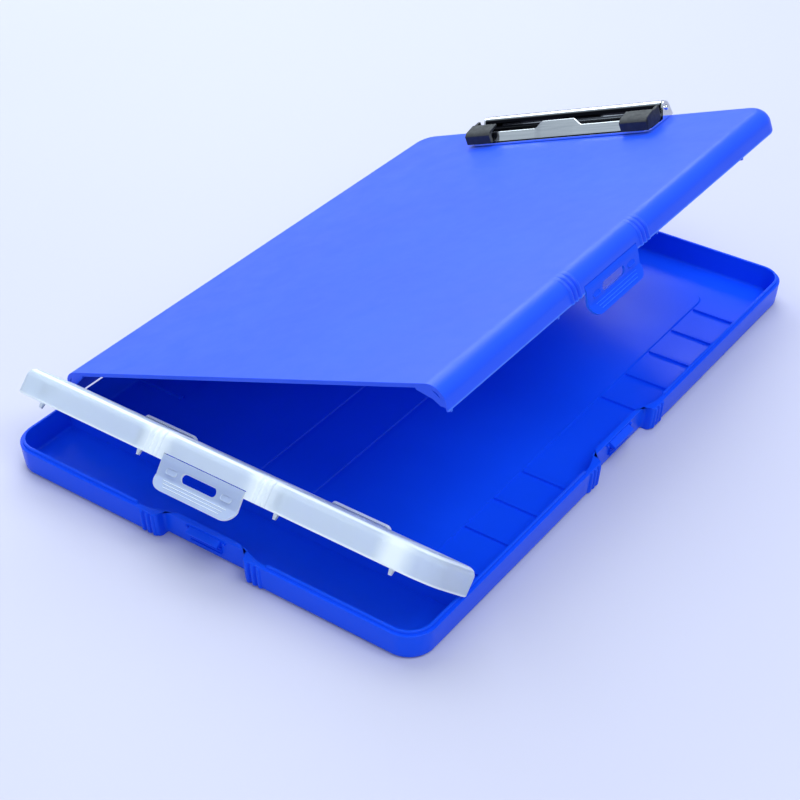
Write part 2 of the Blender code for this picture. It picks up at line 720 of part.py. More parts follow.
def flap_mesh(bead_steps):
    """Latch flap, +X along the wall, +Y into the tray, drawn shut."""
    half = FLAP_HALF
    low = FLAP_LOW_Z
    heights = (low, FLAP_CREASE_Z, FLAP_FLUSH_Z)
    section = [(flap_face(z), z) for z in heights]
    section += arc((FLAP_PIVOT_IN, FLAP_PIVOT_Z), FLAP_THICK / 2, 180, 0, bead_steps)
    section += [(flap_face(z) + FLAP_THICK, z) for z in reversed(heights)]
    mesh = prism_mesh(section, "x", -half, half)
    front = arc((half - FLAP_CORNER, low + FLAP_CORNER), FLAP_CORNER, 0, -90, 6)
    front += arc((FLAP_CORNER - half, low + FLAP_CORNER), FLAP_CORNER, -90, -180, 6)
    front = [(min(max(x, -half), half), z) for x, z in front]
    front = [(half + PROBE, TOP_Z), (half + PROBE, low + FLAP_CORNER)] + front
    front += [(-half - PROBE, low + FLAP_CORNER), (-half - PROBE, TOP_Z)]
    mesh = combine(mesh, [prism_mesh(front, "y", -PROBE, 2 * PROBE)], "INTERSECT")
    radius = (SLOT_HIGH_Z - SLOT_LOW_Z) / 2
    middle = (SLOT_HIGH_Z + SLOT_LOW_Z) / 2
    outline = arc((SLOT_HALF - radius, middle), radius, -90, 90, 8)
    outline += arc((radius - SLOT_HALF, middle), radius, 90, 270, 8)
    mesh = combine(mesh, [prism_mesh(outline, "y", -PROBE, 2 * PROBE)], "DIFFERENCE")
    grips = []
    for k in range(3):
        z = 0.0064 - 0.0015 * k
        face = flap_face(z)
        reach = 0.0180 - 0.0010 * k
        bar = [(face + 0.0004, z - 0.0004), (face - 0.0003, z), (face + 0.0004, z + 0.0004)]
        grips.append(prism_mesh(bar, "x", -reach, reach))
    return combine(mesh, grips, "UNION")


# ---------------------------------------------------------------- clip
def plate_mesh():
    """Base plate with its two upright ears."""
    left = CLIP_X - CLIP_HALF
    right = CLIP_X + CLIP_HALF
    low = TOP_Z + PLATE_LOW
    high = TOP_Z + PLATE_HIGH
    nose = 0.0030
    outline = [(left, CLIP_FRONT_Y + nose), (left + nose, CLIP_FRONT_Y),
               (right - nose, CLIP_FRONT_Y), (right, CLIP_FRONT_Y + nose),
               (right, CLIP_BACK_Y), (left, CLIP_BACK_Y)]
    mesh = prism_mesh(outline, "z", low, high)
    ears = []
    axle_z = TOP_Z + AXLE_UP
    for side in (-1, 1):
        inner = CLIP_X + side * (CLIP_HALF - SHEET)
        outer = CLIP_X + side * CLIP_HALF
        ear = arc((AXLE_Y, axle_z), 0.0036, 0, 180, 10)
        ear += [(AXLE_Y - 0.0060, high - 0.0004), (CLIP_BACK_Y, high - 0.0004)]
        ears.append(prism_mesh(ear, "x", min(inner, outer), max(inner, outer)))
    mesh = combine(mesh, ears, "UNION")
    centre = (AXLE_Y, axle_z)
    cuts = [rod_mesh("x", centre, AXLE_RADIUS + GAP, left - PROBE, right + PROBE)]
    for x in RIVET_X:
        cuts.append(rod_mesh("z", (x, RIVET_Y), RIVET_HOLE, low - PROBE, high + PROBE, 16))
    return combine(mesh, cuts, "DIFFERENCE")


def jaw_profile(lift):
    """Cross-section of the jaw as (y, z) pairs; lift raises the front edge at the finger tab."""
    axle_z = TOP_Z + AXLE_UP
    centre = (AXLE_Y, axle_z)
    front = CLIP_FRONT_Y + 0.0012
    low = TOP_Z + PLATE_HIGH + GAP
    crest = low + 0.0042 + lift
    outer = [(front + 0.0004, low), (front, crest - 0.0012), (front + 0.0010, crest),
             (front + 0.0085, TOP_Z + 0.0076)]
    outer += arc(centre, ROLL_RADIUS, 90, -60, 12)
    inner = arc(centre, ROLL_RADIUS - SHEET, -60, 90, 12)
    inner += [(front + 0.0088, TOP_Z + 0.0066), (front + 0.0018, crest - 0.0010),
              (front + 0.0010, crest - 0.0016), (front + 0.0014, low)]
    return outer + inner


def jaw_mesh():
    half = CLIP_HALF - SHEET - 2 * GAP
    steps = [-half, -TAB_HIGH, -(TAB_HIGH + TAB_LOW) / 2, -TAB_LOW]
    steps += [-step for step in reversed(steps)]
    rows = []
    for at in steps:
        away = min(1.0, max(0.0, (TAB_HIGH - abs(at)) / (TAB_HIGH - TAB_LOW)))
        profile = jaw_profile(TAB_RISE * smooth_step(away))
        rows.append([(CLIP_X + at, y, z) for y, z in profile])
    return loft(rows, "jaw")


def cap_mesh(side):
    """Rubber corner on the jaw: an arm along the front edge and an arm going back."""
    low = TOP_Z + PLATE_HIGH + 0.0005
    outer = CLIP_X + side * (CLIP_HALF + 0.0006)
    reach = CLIP_X + side * (CLIP_HALF - 0.0165)
    neck = CLIP_X + side * (CLIP_HALF - SHEET - 0.0003)
    front_arm = [(CLIP_FRONT_Y - 0.0014, low), (CLIP_FRONT_Y - 0.0017, low + 0.0050),
                 (CLIP_FRONT_Y + 0.0002, low + 0.0066), (CLIP_FRONT_Y + 0.0080, low + 0.0082),
                 (CLIP_FRONT_Y + 0.0080, low + 0.0070), (CLIP_FRONT_Y + 0.0018, low + 0.0052),
                 (CLIP_FRONT_Y + 0.0008, low + 0.0040), (CLIP_FRONT_Y + 0.0009, low)]
    arm = prism_mesh(front_arm, "x", min(outer, reach), max(outer, reach))
    side_arm = [(CLIP_FRONT_Y - 0.0012, low), (CLIP_FRONT_Y - 0.0014, low + 0.0052),
                (CLIP_FRONT_Y + 0.0004, low + 0.0064), (CLIP_FRONT_Y + 0.0135, low + 0.0082),
                (CLIP_FRONT_Y + 0.0135, low + 0.0014), (CLIP_FRONT_Y + 0.0100, low)]
    cheek = prism_mesh(side_arm, "x", min(outer, neck), max(outer, neck))
    return combine(arm, [cheek], "UNION")


def spring_mesh(middle):
    """Torsion spring inside the roll, with two straight legs that point forwards."""
    wire = SPRING_WIRE
    coil = SPRING_COIL
    turns = SPRING_TURNS
    pitch = SPRING_PITCH
    sweep = math.radians(200)
    steps = 14 * turns
    sides = 6
    leg = 0.0090
    axle_z = TOP_Z + AXLE_UP
    points = []
    start = middle - turns * pitch / 2
    angle0 = math.radians(-100)
    total = 2 * math.pi * turns + sweep
    for k in range(steps + 1):
        angle = angle0 + total * k / steps
        points.append(Vector((start + pitch * turns * k / steps,
                              AXLE_Y + coil * math.cos(angle), axle_z + coil * math.sin(angle))))
    foot = Vector((points[0].x, AXLE_Y - leg, TOP_Z + PLATE_HIGH + GAP + wire))
    head = Vector((points[-1].x, AXLE_Y - leg, TOP_Z + 0.0061))
    points = [foot] + points + [head]
    rows = []
    for k, point in enumerate(points):
        ahead = points[min(k + 1, len(points) - 1)]
        behind = points[max(k - 1, 0)]
        tangent = (ahead - behind).normalized()
        side_dir = tangent.cross(Vector((1, 0, 0))).normalized()
        up_dir = side_dir.cross(tangent).normalized()
        circle = []
        for n in range(sides):
            turn = 2 * math.pi * n / sides
            spot = point + side_dir * wire * math.cos(turn) + up_dir * wire * math.sin(turn)
            circle.append(tuple(spot))
        rows.append(circle)
    return loft(rows, "spring")


def turned_mesh(profile, sides=20):
    """Lathe (radius, z) pairs around the Z axis through the origin."""
    rows = []
    for radius, z in profile:
        rows.append([(radius * math.cos(2 * math.pi * k / sides),
                      radius * math.sin(2 * math.pi * k / sides), z) for k in range(sides)])
    return loft(rows, "turned")


def rivet_mesh(x):
    head = TOP_Z + PLATE_HIGH + GAP
    tail = TOP_Z - SKIN - GAP
    shank = RIVET_RADIUS
    profile = [(0.0020, head + 0.0009), (0.0030, head + 0.0005), (0.0031, head), (shank, head),
               (shank, tail), (0.0027, tail), (0.0027, tail - 0.0005), (0.0020, tail - 0.0008)]
    mesh = turned_mesh(profile)
    mesh.transform(Matrix.Translation((x, RIVET_Y, 0)))
    return mesh


def pin_mesh(axis, centre, radius, middle, length):
    return rod_mesh(axis, centre, radius, middle - length / 2, middle + length / 2, 16)


# ---------------------------------------------------------------- assembly
def make_empty(name, parent, location, rotation=(0.0, 0.0, 0.0)):
    empty = bpy.data.objects.new(name, None)
    bpy.context.collection.objects.link(empty)
    empty.parent = parent
    empty.location = location
    empty.rotation_euler = rotation
    empty.empty_display_size = 0.01
    return empty


def place(name, mesh, material, parent, origin=(0.0, 0.0, 0.0)):
    """Add a mesh drawn in shut coordinates under an empty that sits at origin."""
    mesh.transform(Matrix.Translation([-c for c in origin]))
    return finish_object(name, mesh, material, parent)


def build():
    clear_scene()
    corner = make_empty("corner", None, (-WIDTH / 2, -LENGTH / 2, 0))
    lid_at = (LID_HINGE_X, 0.0, LID_HINGE_Z)
    lid_axis = make_empty("lid_axis", corner, lid_at, (0, -LID_OPEN, 0))
    cover_at = (0.0, COVER_HINGE_Y, COVER_HINGE_Z)
    cover_axis = make_empty("cover_axis", corner, cover_at, (-COVER_OPEN, 0, 0))

    place("tray", tray_mesh(8), blue_plastic("tray_blue"), corner)
    place("lid", lid_mesh(8, 6), blue_plastic("lid_blue"), lid_axis, lid_at)
    place("pen_cover", cover_mesh(8, 6), frosted_plastic("cover_frosted"), cover_axis, cover_at)

    for k, middle in enumerate(LID_HINGE_Y):
        mesh = pin_mesh("y", (LID_HINGE_X, LID_HINGE_Z), PIN_RADIUS, middle, LID_PIN_LENGTH)
        place(f"lid_hinge_pin_{k + 1}", mesh, bright_steel(f"lid_pin_{k + 1}"), corner)
    for k, middle in enumerate(COVER_HINGE_X):
        centre = (COVER_HINGE_Y, COVER_HINGE_Z)
        mesh = pin_mesh("x", centre, COVER_PIN_RADIUS, middle, COVER_PIN_LENGTH)
        place(f"pen_cover_hinge_pin_{k + 1}", mesh, bright_steel(f"cover_pin_{k + 1}"), corner)
        guard = frosted_plastic(f"guard_frosted_{k + 1}")
        place(f"hinge_guard_{k + 1}", guard_mesh(middle), guard, corner)

    add_flaps(lid_axis, lid_at, cover_axis, cover_at)
    add_clip(lid_axis, lid_at)


def add_flaps(lid_axis, lid_at, cover_axis, cover_at):
    side_at = Vector((WIDTH - FLAP_PIVOT_IN, SIDE_NOTCH_Y, FLAP_PIVOT_Z))
    side = make_empty("lid_latch_axis", lid_axis, side_at - Vector(lid_at), (0, -FLAP_OPEN, 0))
    place("lid_latch_flap", at_side_notch(flap_mesh(8)), blue_plastic("lid_flap_blue"), side, side_at)
    front_at = Vector((FRONT_NOTCH_X, FLAP_PIVOT_IN, FLAP_PIVOT_Z))
    front = make_empty("cover_latch_axis", cover_axis, front_at - Vector(cover_at),
                       (-FLAP_OPEN, 0, 0))
    mesh = at_front_notch(flap_mesh(8))
    place("pen_cover_latch_flap", mesh, frosted_plastic("cover_flap_frosted"), front, front_at)


def add_clip(lid_axis, lid_at):
    place("clip_base_plate", plate_mesh(), bright_steel("plate_steel"), lid_axis, lid_at)
    axle_z = TOP_Z + AXLE_UP
    axle = rod_mesh("x", (AXLE_Y, axle_z), AXLE_RADIUS, CLIP_X - CLIP_HALF - 0.0012,
                    CLIP_X + CLIP_HALF + 0.0012, 16)
    place("clip_axle", axle, bright_steel("axle_steel"), lid_axis, lid_at)
    for k, x in enumerate(RIVET_X):
        place(f"clip_rivet_{k + 1}", rivet_mesh(x), bright_steel(f"rivet_{k + 1}"), lid_axis, lid_at)
    for k, side in enumerate((-1, 1)):
        spring = spring_mesh(CLIP_X + side * SPRING_OFFSET)
        place(f"clip_spring_{k + 1}", spring, bright_steel(f"spring_{k + 1}"), lid_axis, lid_at)
    jaw_at = Vector((CLIP_X, AXLE_Y, axle_z))
    jaw_axis = make_empty("clip_jaw_axis", lid_axis, jaw_at - Vector(lid_at))
    place("clip_jaw", jaw_mesh(), bright_steel("jaw_steel"), jaw_axis, jaw_at)
    for k, side in enumerate((-1, 1)):
        cap = cap_mesh(side)
        place(f"clip_corner_cap_{k + 1}", cap, black_rubber(f"cap_{k + 1}"), jaw_axis, jaw_at)


build()
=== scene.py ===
"""Looks of the storage clipboard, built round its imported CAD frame.

Metres, in the row frame.  The moulded pieces are drawn shut, in tray coordinates (+X along the
short side, +Y from the pen end to the clip end), and opened() then turns each one about the
frame's own joints to the resting pose.
"""

import json
import math

import bmesh
import bpy
from mathutils import Matrix, Vector


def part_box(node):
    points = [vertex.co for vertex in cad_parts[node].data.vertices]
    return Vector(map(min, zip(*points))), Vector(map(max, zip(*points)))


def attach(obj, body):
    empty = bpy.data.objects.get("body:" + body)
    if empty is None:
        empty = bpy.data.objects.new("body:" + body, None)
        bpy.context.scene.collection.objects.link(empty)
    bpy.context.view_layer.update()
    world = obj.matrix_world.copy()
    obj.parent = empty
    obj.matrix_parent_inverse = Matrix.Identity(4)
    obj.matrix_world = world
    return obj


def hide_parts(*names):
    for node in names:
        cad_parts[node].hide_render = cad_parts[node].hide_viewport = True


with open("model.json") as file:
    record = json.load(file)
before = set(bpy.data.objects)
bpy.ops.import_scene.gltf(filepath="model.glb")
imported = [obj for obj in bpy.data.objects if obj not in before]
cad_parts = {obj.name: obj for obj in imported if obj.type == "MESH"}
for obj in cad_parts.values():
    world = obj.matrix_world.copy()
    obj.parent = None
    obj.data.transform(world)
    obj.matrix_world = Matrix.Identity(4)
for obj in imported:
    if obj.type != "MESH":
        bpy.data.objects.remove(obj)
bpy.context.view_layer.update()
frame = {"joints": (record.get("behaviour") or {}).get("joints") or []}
JOINTS = {joint["name"]: joint for joint in frame["joints"]}


# ---------------------------------------------------------------- driving dimensions
RIDGE_RISE = 0.0009
WIDTH = 2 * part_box("pen_cover")[1].x
LENGTH = 2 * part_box("tray")[1].y
CORNER_RADIUS = 0.014
LEDGE_Z = 0.0138          # ledge that the lid and the pen cover stand on
LIP_RISE = 0.0016         # tongue above the ledge
LIP_OUT = 0.0014          # outer face of the tongue, from the outside of the tray
LIP_IN = 0.0028           # inner face of the tongue
FLOOR_Z = 0.0020
WALL_DRAFT = 0.0010
WALL_FOOT = 0.0008        # the inner wall leans in by this much at the floor
TRAY_SOFT = 0.0004        # radius of the rim's soft edges
TRAY_FOOT = 0.0020        # radius round the underside
TRAY_ROUND = 0.0014       # radius between wall and floor
FLANGE_RISE = 0.00004     # the recess's flange stands this much above the ledge
RIDGE_FADE = ((0.0016, 1.0), (0.0010, 0.8))   # (below the ledge, strength of the ridges)
GAP = 0.0003              # clearance between separate pieces

TOP_Z = 0.0270            # top of the lid and of the pen cover
SKIN = 0.0020             # thickness of the lid and of the pen cover
EDGE_RADIUS = 0.0080      # soft edge between the top and the skirt
SKIRT_Z = LEDGE_Z + GAP
SKIRT_FOOT = 0.0010       # the skirt is thinner where it stands outside the tongue
REBATE = 0.0019

COVER_EDGE = 0.0042       # the pen cover's edge is crisper than the lid's
RIM_HIGHLIGHT_BAND = 0.0009         # band along the lower edge of a skirt that gets a painted highlight
RIM_RISE = 0.0003         # the skirt's lower edge is broken by this much up and in
RIM_IN = 0.0002
REBATE_RISE = 0.0004
RIDGE_GROWTH = 3.2        # how fast the ridges grow from the top edge down
SAME_PLACE = 0.000001
COVER_END = 0.0417        # back edge of the pen cover
LID_START = 0.0442        # front edge of the lid
GUSSET_REACH = 0.0135     # webs at the open ends of the lid's skirt
GUSSET_THICK = 0.0016
GUSSET_SINK = 0.0008
GUSSET_FOOT = 0.0012
GUSSET_BEND = 0.0040
GUSSET_RISE = 0.0032
GUSSET_TOP = 0.0018

NOTCH_DEPTH = 0.0050      # latch recess in the tray wall
NOTCH_HALF = 0.0250
FRONT_NOTCH_X = 0.1192
SIDE_NOTCH_Y = 0.1757
NOTCH_FILLET = 0.0014
NOTCH_FLARE = 0.0100      # the inner flange swings in over this length each way
RIDGE_WIDTH = 0.0022
RIDGE_SPACE = 0.0011
RIDGE_COUNT = 3

FLAP_HALF = 0.0231
FLAP_THICK = 0.0014
FLAP_PIVOT_Z = 0.0165
FLAP_PIVOT_IN = FLAP_THICK / 2   # the flap's top edge is a round bead on its axis
FLAP_LOW_Z = 0.0014
FLAP_CREASE_Z = 0.0078
FLAP_CREASE_IN = 0.0024
FLAP_FOOT_IN = 0.0010
FLAP_FLUSH_Z = 0.0145     # above this the flap is flush with the skirt
FLAP_CORNER = 0.0060
WINDOW_TOP_Z = FLAP_PIVOT_Z + FLAP_THICK / 2 + GAP
SLOT_HALF = 0.0100
SLOT_LOW_Z = 0.0088
SLOT_HIGH_Z = 0.0130
FRAME_AWAY = 0.0056       # raised outlines beside the slot
FRAME_HALF_X = 0.0030
FRAME_HALF_Z = 0.0015
FRAME_CORNER = 0.0012
FRAME_RIM = 0.0003        # width of their rims, and how far these stand out
FRAME_ROOT = 0.0008
FRAME_PROBE = 0.0012
FRAME_FLOOR = 0.00002     # inside its rim the flap is cut level, this far above its face
GRIP_TOP_Z = 0.0064       # three grip lines across the flap's foot
GRIP_PITCH = 0.0015
GRIP_HALF = 0.0180
GRIP_TAPER = 0.0010
GRIP_PROUD = 0.0003
CATCH_HALF = 0.0090
CATCH_NOSE = 0.0019       # depth of the catch's nose below the outside of the tray
CATCH_WALL = NOTCH_DEPTH + 0.0016
CATCH_PROUD = 0.0043      # depth of the grip lines and stubs on the recess wall
CATCH_WEDGE = ((CATCH_WALL, 0.0126), (0.0046, 0.0124), (CATCH_NOSE, 0.0109),
               (CATCH_NOSE, 0.0101), (CATCH_WALL, 0.0098))     # (depth, height)
CATCH_STUB = ((CATCH_WALL, 0.0108), (CATCH_WALL, 0.0124), (CATCH_PROUD, 0.0121),
              (CATCH_PROUD, 0.0111))
STUB_AT = CATCH_HALF + 0.0018
STUB_HALF = 0.0007
LINE_TOP_Z = 0.0082
LINE_PITCH = 0.0016
LINE_HALF = 0.0004
PROBE = 0.0040            # how far a cutting tool reaches beyond what it cuts
SINK = 0.0005             # how far an added piece is sunk into what carries it
BITE = 0.0006             # the same for a web under the skin
HAIR = 0.0001             # keeps faces that would lie in one plane apart
BORE_RUN = 0.0020         # how far a bore's tool runs past the knuckles
WIDE = 0.0200             # how far a cutting block reaches past the outline
TALL = 0.0600             # height of a cutting block

PRONG_HALF = 0.0012
PRONG_DROP = 0.0028
PRONG_TIP = 0.0014        # depth of the tip, and of the prong at its root
PRONG_ROOT = 0.0017
PRONG_NECK = 0.0030
PRONG_WEB_IN = 0.0094
PRONG_SINK = 0.0004
PRONG_WEB_Z = 0.0024
PRONG_FACE_Z = 0.0022
PRONG_NARROW = 0.5        # a prong widens from this share of its width at the tip
PRONG_SPREAD = 0.9
SIDE_PRONG_IN = LIP_IN + 0.0004
FRONT_PRONG_IN = 0.0042   # set back so that it clears the tongue as the pen cover swings
SIDE_PRONG_Y = (0.0497, 0.1330, 0.2225, 0.3120)
FRONT_PRONG_X = (0.0190, 0.0798, 0.1582, 0.2190)

LID_HINGE_X = -0.0029
LID_HINGE_Z = LEDGE_Z + GAP / 2
KNUCKLE_RADIUS = 0.0025
KNUCKLE_BORE = 0.0013
PIN_RADIUS = 0.0010
PIN_DOME = 0.4            # height of a pin's domed end, as a share of its radius
PIN_TIP = 0.00004
LID_HINGE_Y = (0.0950, 0.3000)
LID_KNUCKLE = 0.0190
TRAY_KNUCKLE = 0.0120
KNUCKLE_ROOM = 0.0002     # the lid is cut away this far past each tray knuckle
LID_PIN_LENGTH = 0.0430
KNUCKLE_STEP = LID_KNUCKLE / 2 + GAP + TRAY_KNUCKLE / 2

COVER_HINGE_Y = 0.0385
COVER_HINGE_Z = 0.0217
COVER_HINGE_X = (0.0627, 0.1747)
COVER_KNUCKLE = 0.0240
COVER_LUG = 0.0034
LUG_CHEEK = 0.0040
LUG_FOOT = 0.0075
COVER_KNUCKLE_RADIUS = 0.0022
COVER_BORE = 0.0012
COVER_PIN_RADIUS = 0.0009
COVER_PIN_LENGTH = 0.0308
COVER_WEB_HALF = 0.0007   # web over the pen cover's knuckles
BACK_RADIUS = 0.00535     # the pen cover's back edge stays inside this radius of its hinge
DIVIDER_THICK = 0.0018
DIVIDER_SHOULDER = 0.0090   # the divider drops to the ledge this far from its ends
GUARD_HALF = 0.0162       # upright frosted leaves behind the pen cover's hinge
GUARD_TOP_Z = 0.0222
GUARD_FACE_Y = 0.0459
GUARD_THICK = 0.0016
GUARD_CORNER = 0.0022
POCKET_Z = 0.0070         # height of the rib behind each guard
POCKET_THICK = 0.0010
WEB_HALF = 0.0006         # webs in front of each guard
WEB_IN = 0.0030
WEB_BACK_Z = 0.0150
WEB_FRONT_Z = 0.0100

PANEL_X = ((0.0340, 0.1020), (0.1035, 0.1335), (0.1350, 0.2040))
PANEL_FRONT_Y = 0.0520
PANEL_BACK_Y = 0.3230
PANEL_CORNER = 0.0080
PANEL_TIGHT = 0.0006      # corner radius beside the strip between two panels
PANEL_SLOPE = 0.0005
PANEL_RISE = 0.0007
RIB_FIRST_Y = 0.0619
RIB_PITCH = 0.0246
RIB_COUNT = 11
RIB_SKIPPED = (4, 5)
RIB_X = ((0.0035, 0.0332), (0.2048, WIDTH - 0.0035))
RIB_RISE = 0.0012
RIB_FOOT = 0.0012         # half width of a rib at its foot and at its crest
RIB_CREST = 0.0009

CLIP_X = 0.1190
CLIP_HALF = 0.0600
CLIP_FRONT_Y = 0.3205
CLIP_BACK_Y = 0.3465
PLATE_LOW = GAP           # heights below are measured from the lid's top face
PLATE_HIGH = 0.0013
AXLE_Y = 0.3415
AXLE_UP = 0.0058
AXLE_RADIUS = 0.0012
EAR_RADIUS = 0.0036       # upright ears of the base plate, round the axle
EAR_FOOT = 0.0060
EAR_SINK = 0.0004
PLATE_NOSE = 0.0030       # cut front corners of the base plate
ROLL_RADIUS = 0.0040
SHEET = 0.0010
RIVET_X = (0.0790, 0.1590)
RIVET_Y = 0.3300
RIVET_HOLE = 0.0018
RIVET_RADIUS = 0.0015
RIVET_HEAD = 0.0031
RIVET_DOME = 0.0009
RIVET_TAIL = ((0.0027, 0), (0.0027, 0.0005), (0.0022, 0.0008), (0.0010, 0.0008))
RAIL_BACK = 0.0012        # jaw's front rail, behind the plate's front edge
RAIL_HIGH = 0.0046
RAIL_LEAN = 0.0030
RAIL_LEAN_SHARE = 0.45    # it leans back further where it is higher
RAIL_BEAD = 0.0007
VALLEY_AWAY = 0.0016
VALLEY_FILLET = 0.0014
TAB_LOW = 0.0100          # half width of the finger tab at its full height
TAB_HIGH = 0.0160         # half width where the tab starts to rise
TAB_RISE = 0.0034
END_STRIP = 0.0010
TAB_PLAIN = 0.0080        # the rail is plain beyond this from the tab
CAP_CLEAR = 0.0005        # rubber corners: above the plate, and past its end
CAP_OVER = 0.0006
CAP_LENGTH = 0.0165
CAP_ARM = ((-0.0014, 0), (-0.0017, 0.0050), (0.0002, 0.0066), (0.0080, 0.0082),
           (0.0080, 0.0070), (0.0018, 0.0052), (0.0008, 0.0040), (0.0009, 0))   # (back, up)
CAP_CHEEK = ((-0.0012, 0), (-0.0014, 0.0052), (0.0004, 0.0064), (0.0135, 0.0082),
             (0.0135, 0.0014), (0.0100, 0))
SPRING_OFFSET = 0.0180
SPRING_WIRE = 0.00035
SPRING_COIL = 0.0021
SPRING_TURNS = 6
SPRING_PITCH = 0.0011
SPRING_LEG = 0.0090
MILKY_AT = 0.0300         # ridge groups, each way from the middle of the front recess
MILKY_REACH = 0.0100
VALLEY_UP = 0.0042        # floor of the jaw's valley above the lid
LID_AXIS = (LID_HINGE_X, LID_HINGE_Z)
COVER_AXIS = (COVER_HINGE_Y, COVER_HINGE_Z)
CLIP_AXIS = (AXLE_Y, TOP_Z + AXLE_UP)

CORNER_STEPS = 20         # divisions of a corner of the outline, and below of other round parts
EDGE_STEPS = 14
RIDGE_STEPS = 10
GROOVE_SHARE = 0.7        # depth of the groove between two ridges, as a share of their rise
FLANGE_STEPS = 4
FILLET_STEPS = 7
LIP_RUN = 0.0030
LIP_STEPS = 6


# ---------------------------------------------------------------- mesh helpers
def mesh_from(verts, faces, name="shape"):
    mesh = bpy.data.meshes.new(name)
    mesh.from_pydata([tuple(v) for v in verts], [], faces)
    shape = bmesh.new()
    shape.from_mesh(mesh)
    bmesh.ops.recalc_face_normals(shape, faces=shape.faces)
    shape.to_mesh(mesh)
    shape.free()
    return mesh


def loft(rows, name="shape"):
    """Closed solid through equal rings of points, capped at both ends."""
    count = len(rows[0])
    verts = [point for row in rows for point in row]
    faces = []
    for level in range(len(rows) - 1):
        low = level * count
        high = low + count
        for k in range(count):
            n = (k + 1) % count
            faces.append((low + k, low + n, high + n, high + k))
    faces.append(tuple(reversed(range(count))))
    last = (len(rows) - 1) * count
    faces.append(tuple(range(last, last + count)))
    return mesh_from(verts, faces, name)


def box_mesh(low, high):
    centre = [(a + b) / 2 for a, b in zip(low, high)]
    size = [b - a for a, b in zip(low, high)]
    shape = bmesh.new()
    place = Matrix.Translation(centre) @ Matrix.Diagonal((*size, 1.0))
    bmesh.ops.create_cube(shape, size=1.0, matrix=place)
    mesh = bpy.data.meshes.new("box")
    shape.to_mesh(mesh)
    shape.free()
    return mesh


def prism_mesh(outline, axis, low, high):
    """Extrude a closed outline of (a, b) pairs along an axis; a and b are the other two axes."""
    def place(a, b, c):
        if axis == "x":
            return (c, a, b)
        if axis == "y":
            return (a, c, b)
        return (a, b, c)
    rows = [[place(a, b, level) for a, b in outline] for level in sorted((low, high))]
    return loft(rows, "prism")


def arc(centre, radius, start, end, steps):
    points = []
    for k in range(steps + 1):
        angle = math.radians(start + (end - start) * k / steps)
        points.append((centre[0] + radius * math.cos(angle), centre[1] + radius * math.sin(angle)))
    return points


def rounded_outline(left, right, low, high, left_round, right_round, steps):
    """Rectangle with rounded corners, from the upper right corner round."""
    points = arc((right - right_round, high - right_round), right_round, 0, 90, steps)
    points += arc((left + left_round, high - left_round), left_round, 90, 180, steps)
    points += arc((left + left_round, low + left_round), left_round, 180, 270, steps)
    points += arc((right - right_round, low + right_round), right_round, 270, 360, steps)
    return points


def rod_mesh(axis, centre, radius, low, high, sides=20):
    """Cylinder along an axis; centre is the pair of the other two coordinates."""
    outline = arc(centre, radius, 0, 360 - 360 / sides, sides - 1)
    return prism_mesh(outline, axis, low, high)


def middle_rod(axis, centre, radius, middle, half, sides=20):
    """Cylinder that reaches half each way from its middle."""
    return rod_mesh(axis, centre, radius, middle - half, middle + half, sides)


def temporary(mesh):
    thing = bpy.data.objects.new("tool", mesh)
    bpy.context.collection.objects.link(thing)
    return thing


def combine(mesh, tools, operation):
    """Apply one exact Boolean per tool mesh and return the new mesh."""
    body = temporary(mesh)
    helpers = []
    for tool in tools:
        helper = temporary(tool)
        helper.display_type = "WIRE"
        helper.hide_render = True
        helpers.append(helper)
        modifier = body.modifiers.new("step", "BOOLEAN")
        modifier.operation = operation
        modifier.solver = "EXACT"
        modifier.object = helper
    view = bpy.context.view_layer
    view.update()
    ready = body.evaluated_get(bpy.context.evaluated_depsgraph_get())
    result = bpy.data.meshes.new_from_object(ready)
    for item in helpers + [body]:
        bpy.data.objects.remove(item, do_unlink=True)
    return result


# ---------------------------------------------------------------- the shared outline
def smooth_step(s):
    return s * s * (3 - 2 * s)


def notch_half_path():
    """Stations from the far side of the ridges to the middle of one recess.

    Each is (along outside, depth outside, along inside, depth inside, ridge, lip).
    """
    far = -NOTCH_HALF - NOTCH_FILLET
    outside = []
    for ridge in reversed(range(RIDGE_COUNT)):
        start = far - ridge * (RIDGE_WIDTH + RIDGE_SPACE) - RIDGE_WIDTH
        for k in range(RIDGE_STEPS + 1):
            across = k / RIDGE_STEPS
            outside.append((start + RIDGE_WIDTH * across, 0.0, 1 - abs(2 * across - 1) ** 3))
        if ridge > 0:
            outside.append((start + RIDGE_WIDTH + RIDGE_SPACE / 2, 0.0, -GROOVE_SHARE))
    reach = NOTCH_FILLET
    for a, d in arc((-NOTCH_HALF - reach, reach), reach, -90, 0, FILLET_STEPS)[1:]:
        outside.append((a, d, 0))
    for a, d in arc((-NOTCH_HALF + reach, NOTCH_DEPTH - reach), reach, 180, 90, FILLET_STEPS):
        outside.append((a, d, 0))
    flat = -NOTCH_HALF + reach
    for k in range(1, FLANGE_STEPS + 1):
        outside.append((flat + (NOTCH_FLARE - reach) * k / FLANGE_STEPS, NOTCH_DEPTH, 0))
    stations = []
    last = len(outside) - 1
    start = outside[0][0]
    lip_end = start - LIP_RUN
    for k in range(LIP_STEPS + 1):
        along = lip_end + LIP_RUN * 0.4 * k / LIP_STEPS
        stations.append((along, 0.0, along, 0.0, 0, 1 - smooth_step(k / LIP_STEPS)))
    for k, (along, depth, ridge) in enumerate(outside):
        s = k / last
        inner_along = start + (-NOTCH_HALF + NOTCH_FLARE - start) * s
        stations.append((along, depth, inner_along, NOTCH_DEPTH * smooth_step(s), ridge, 0))
    return stations


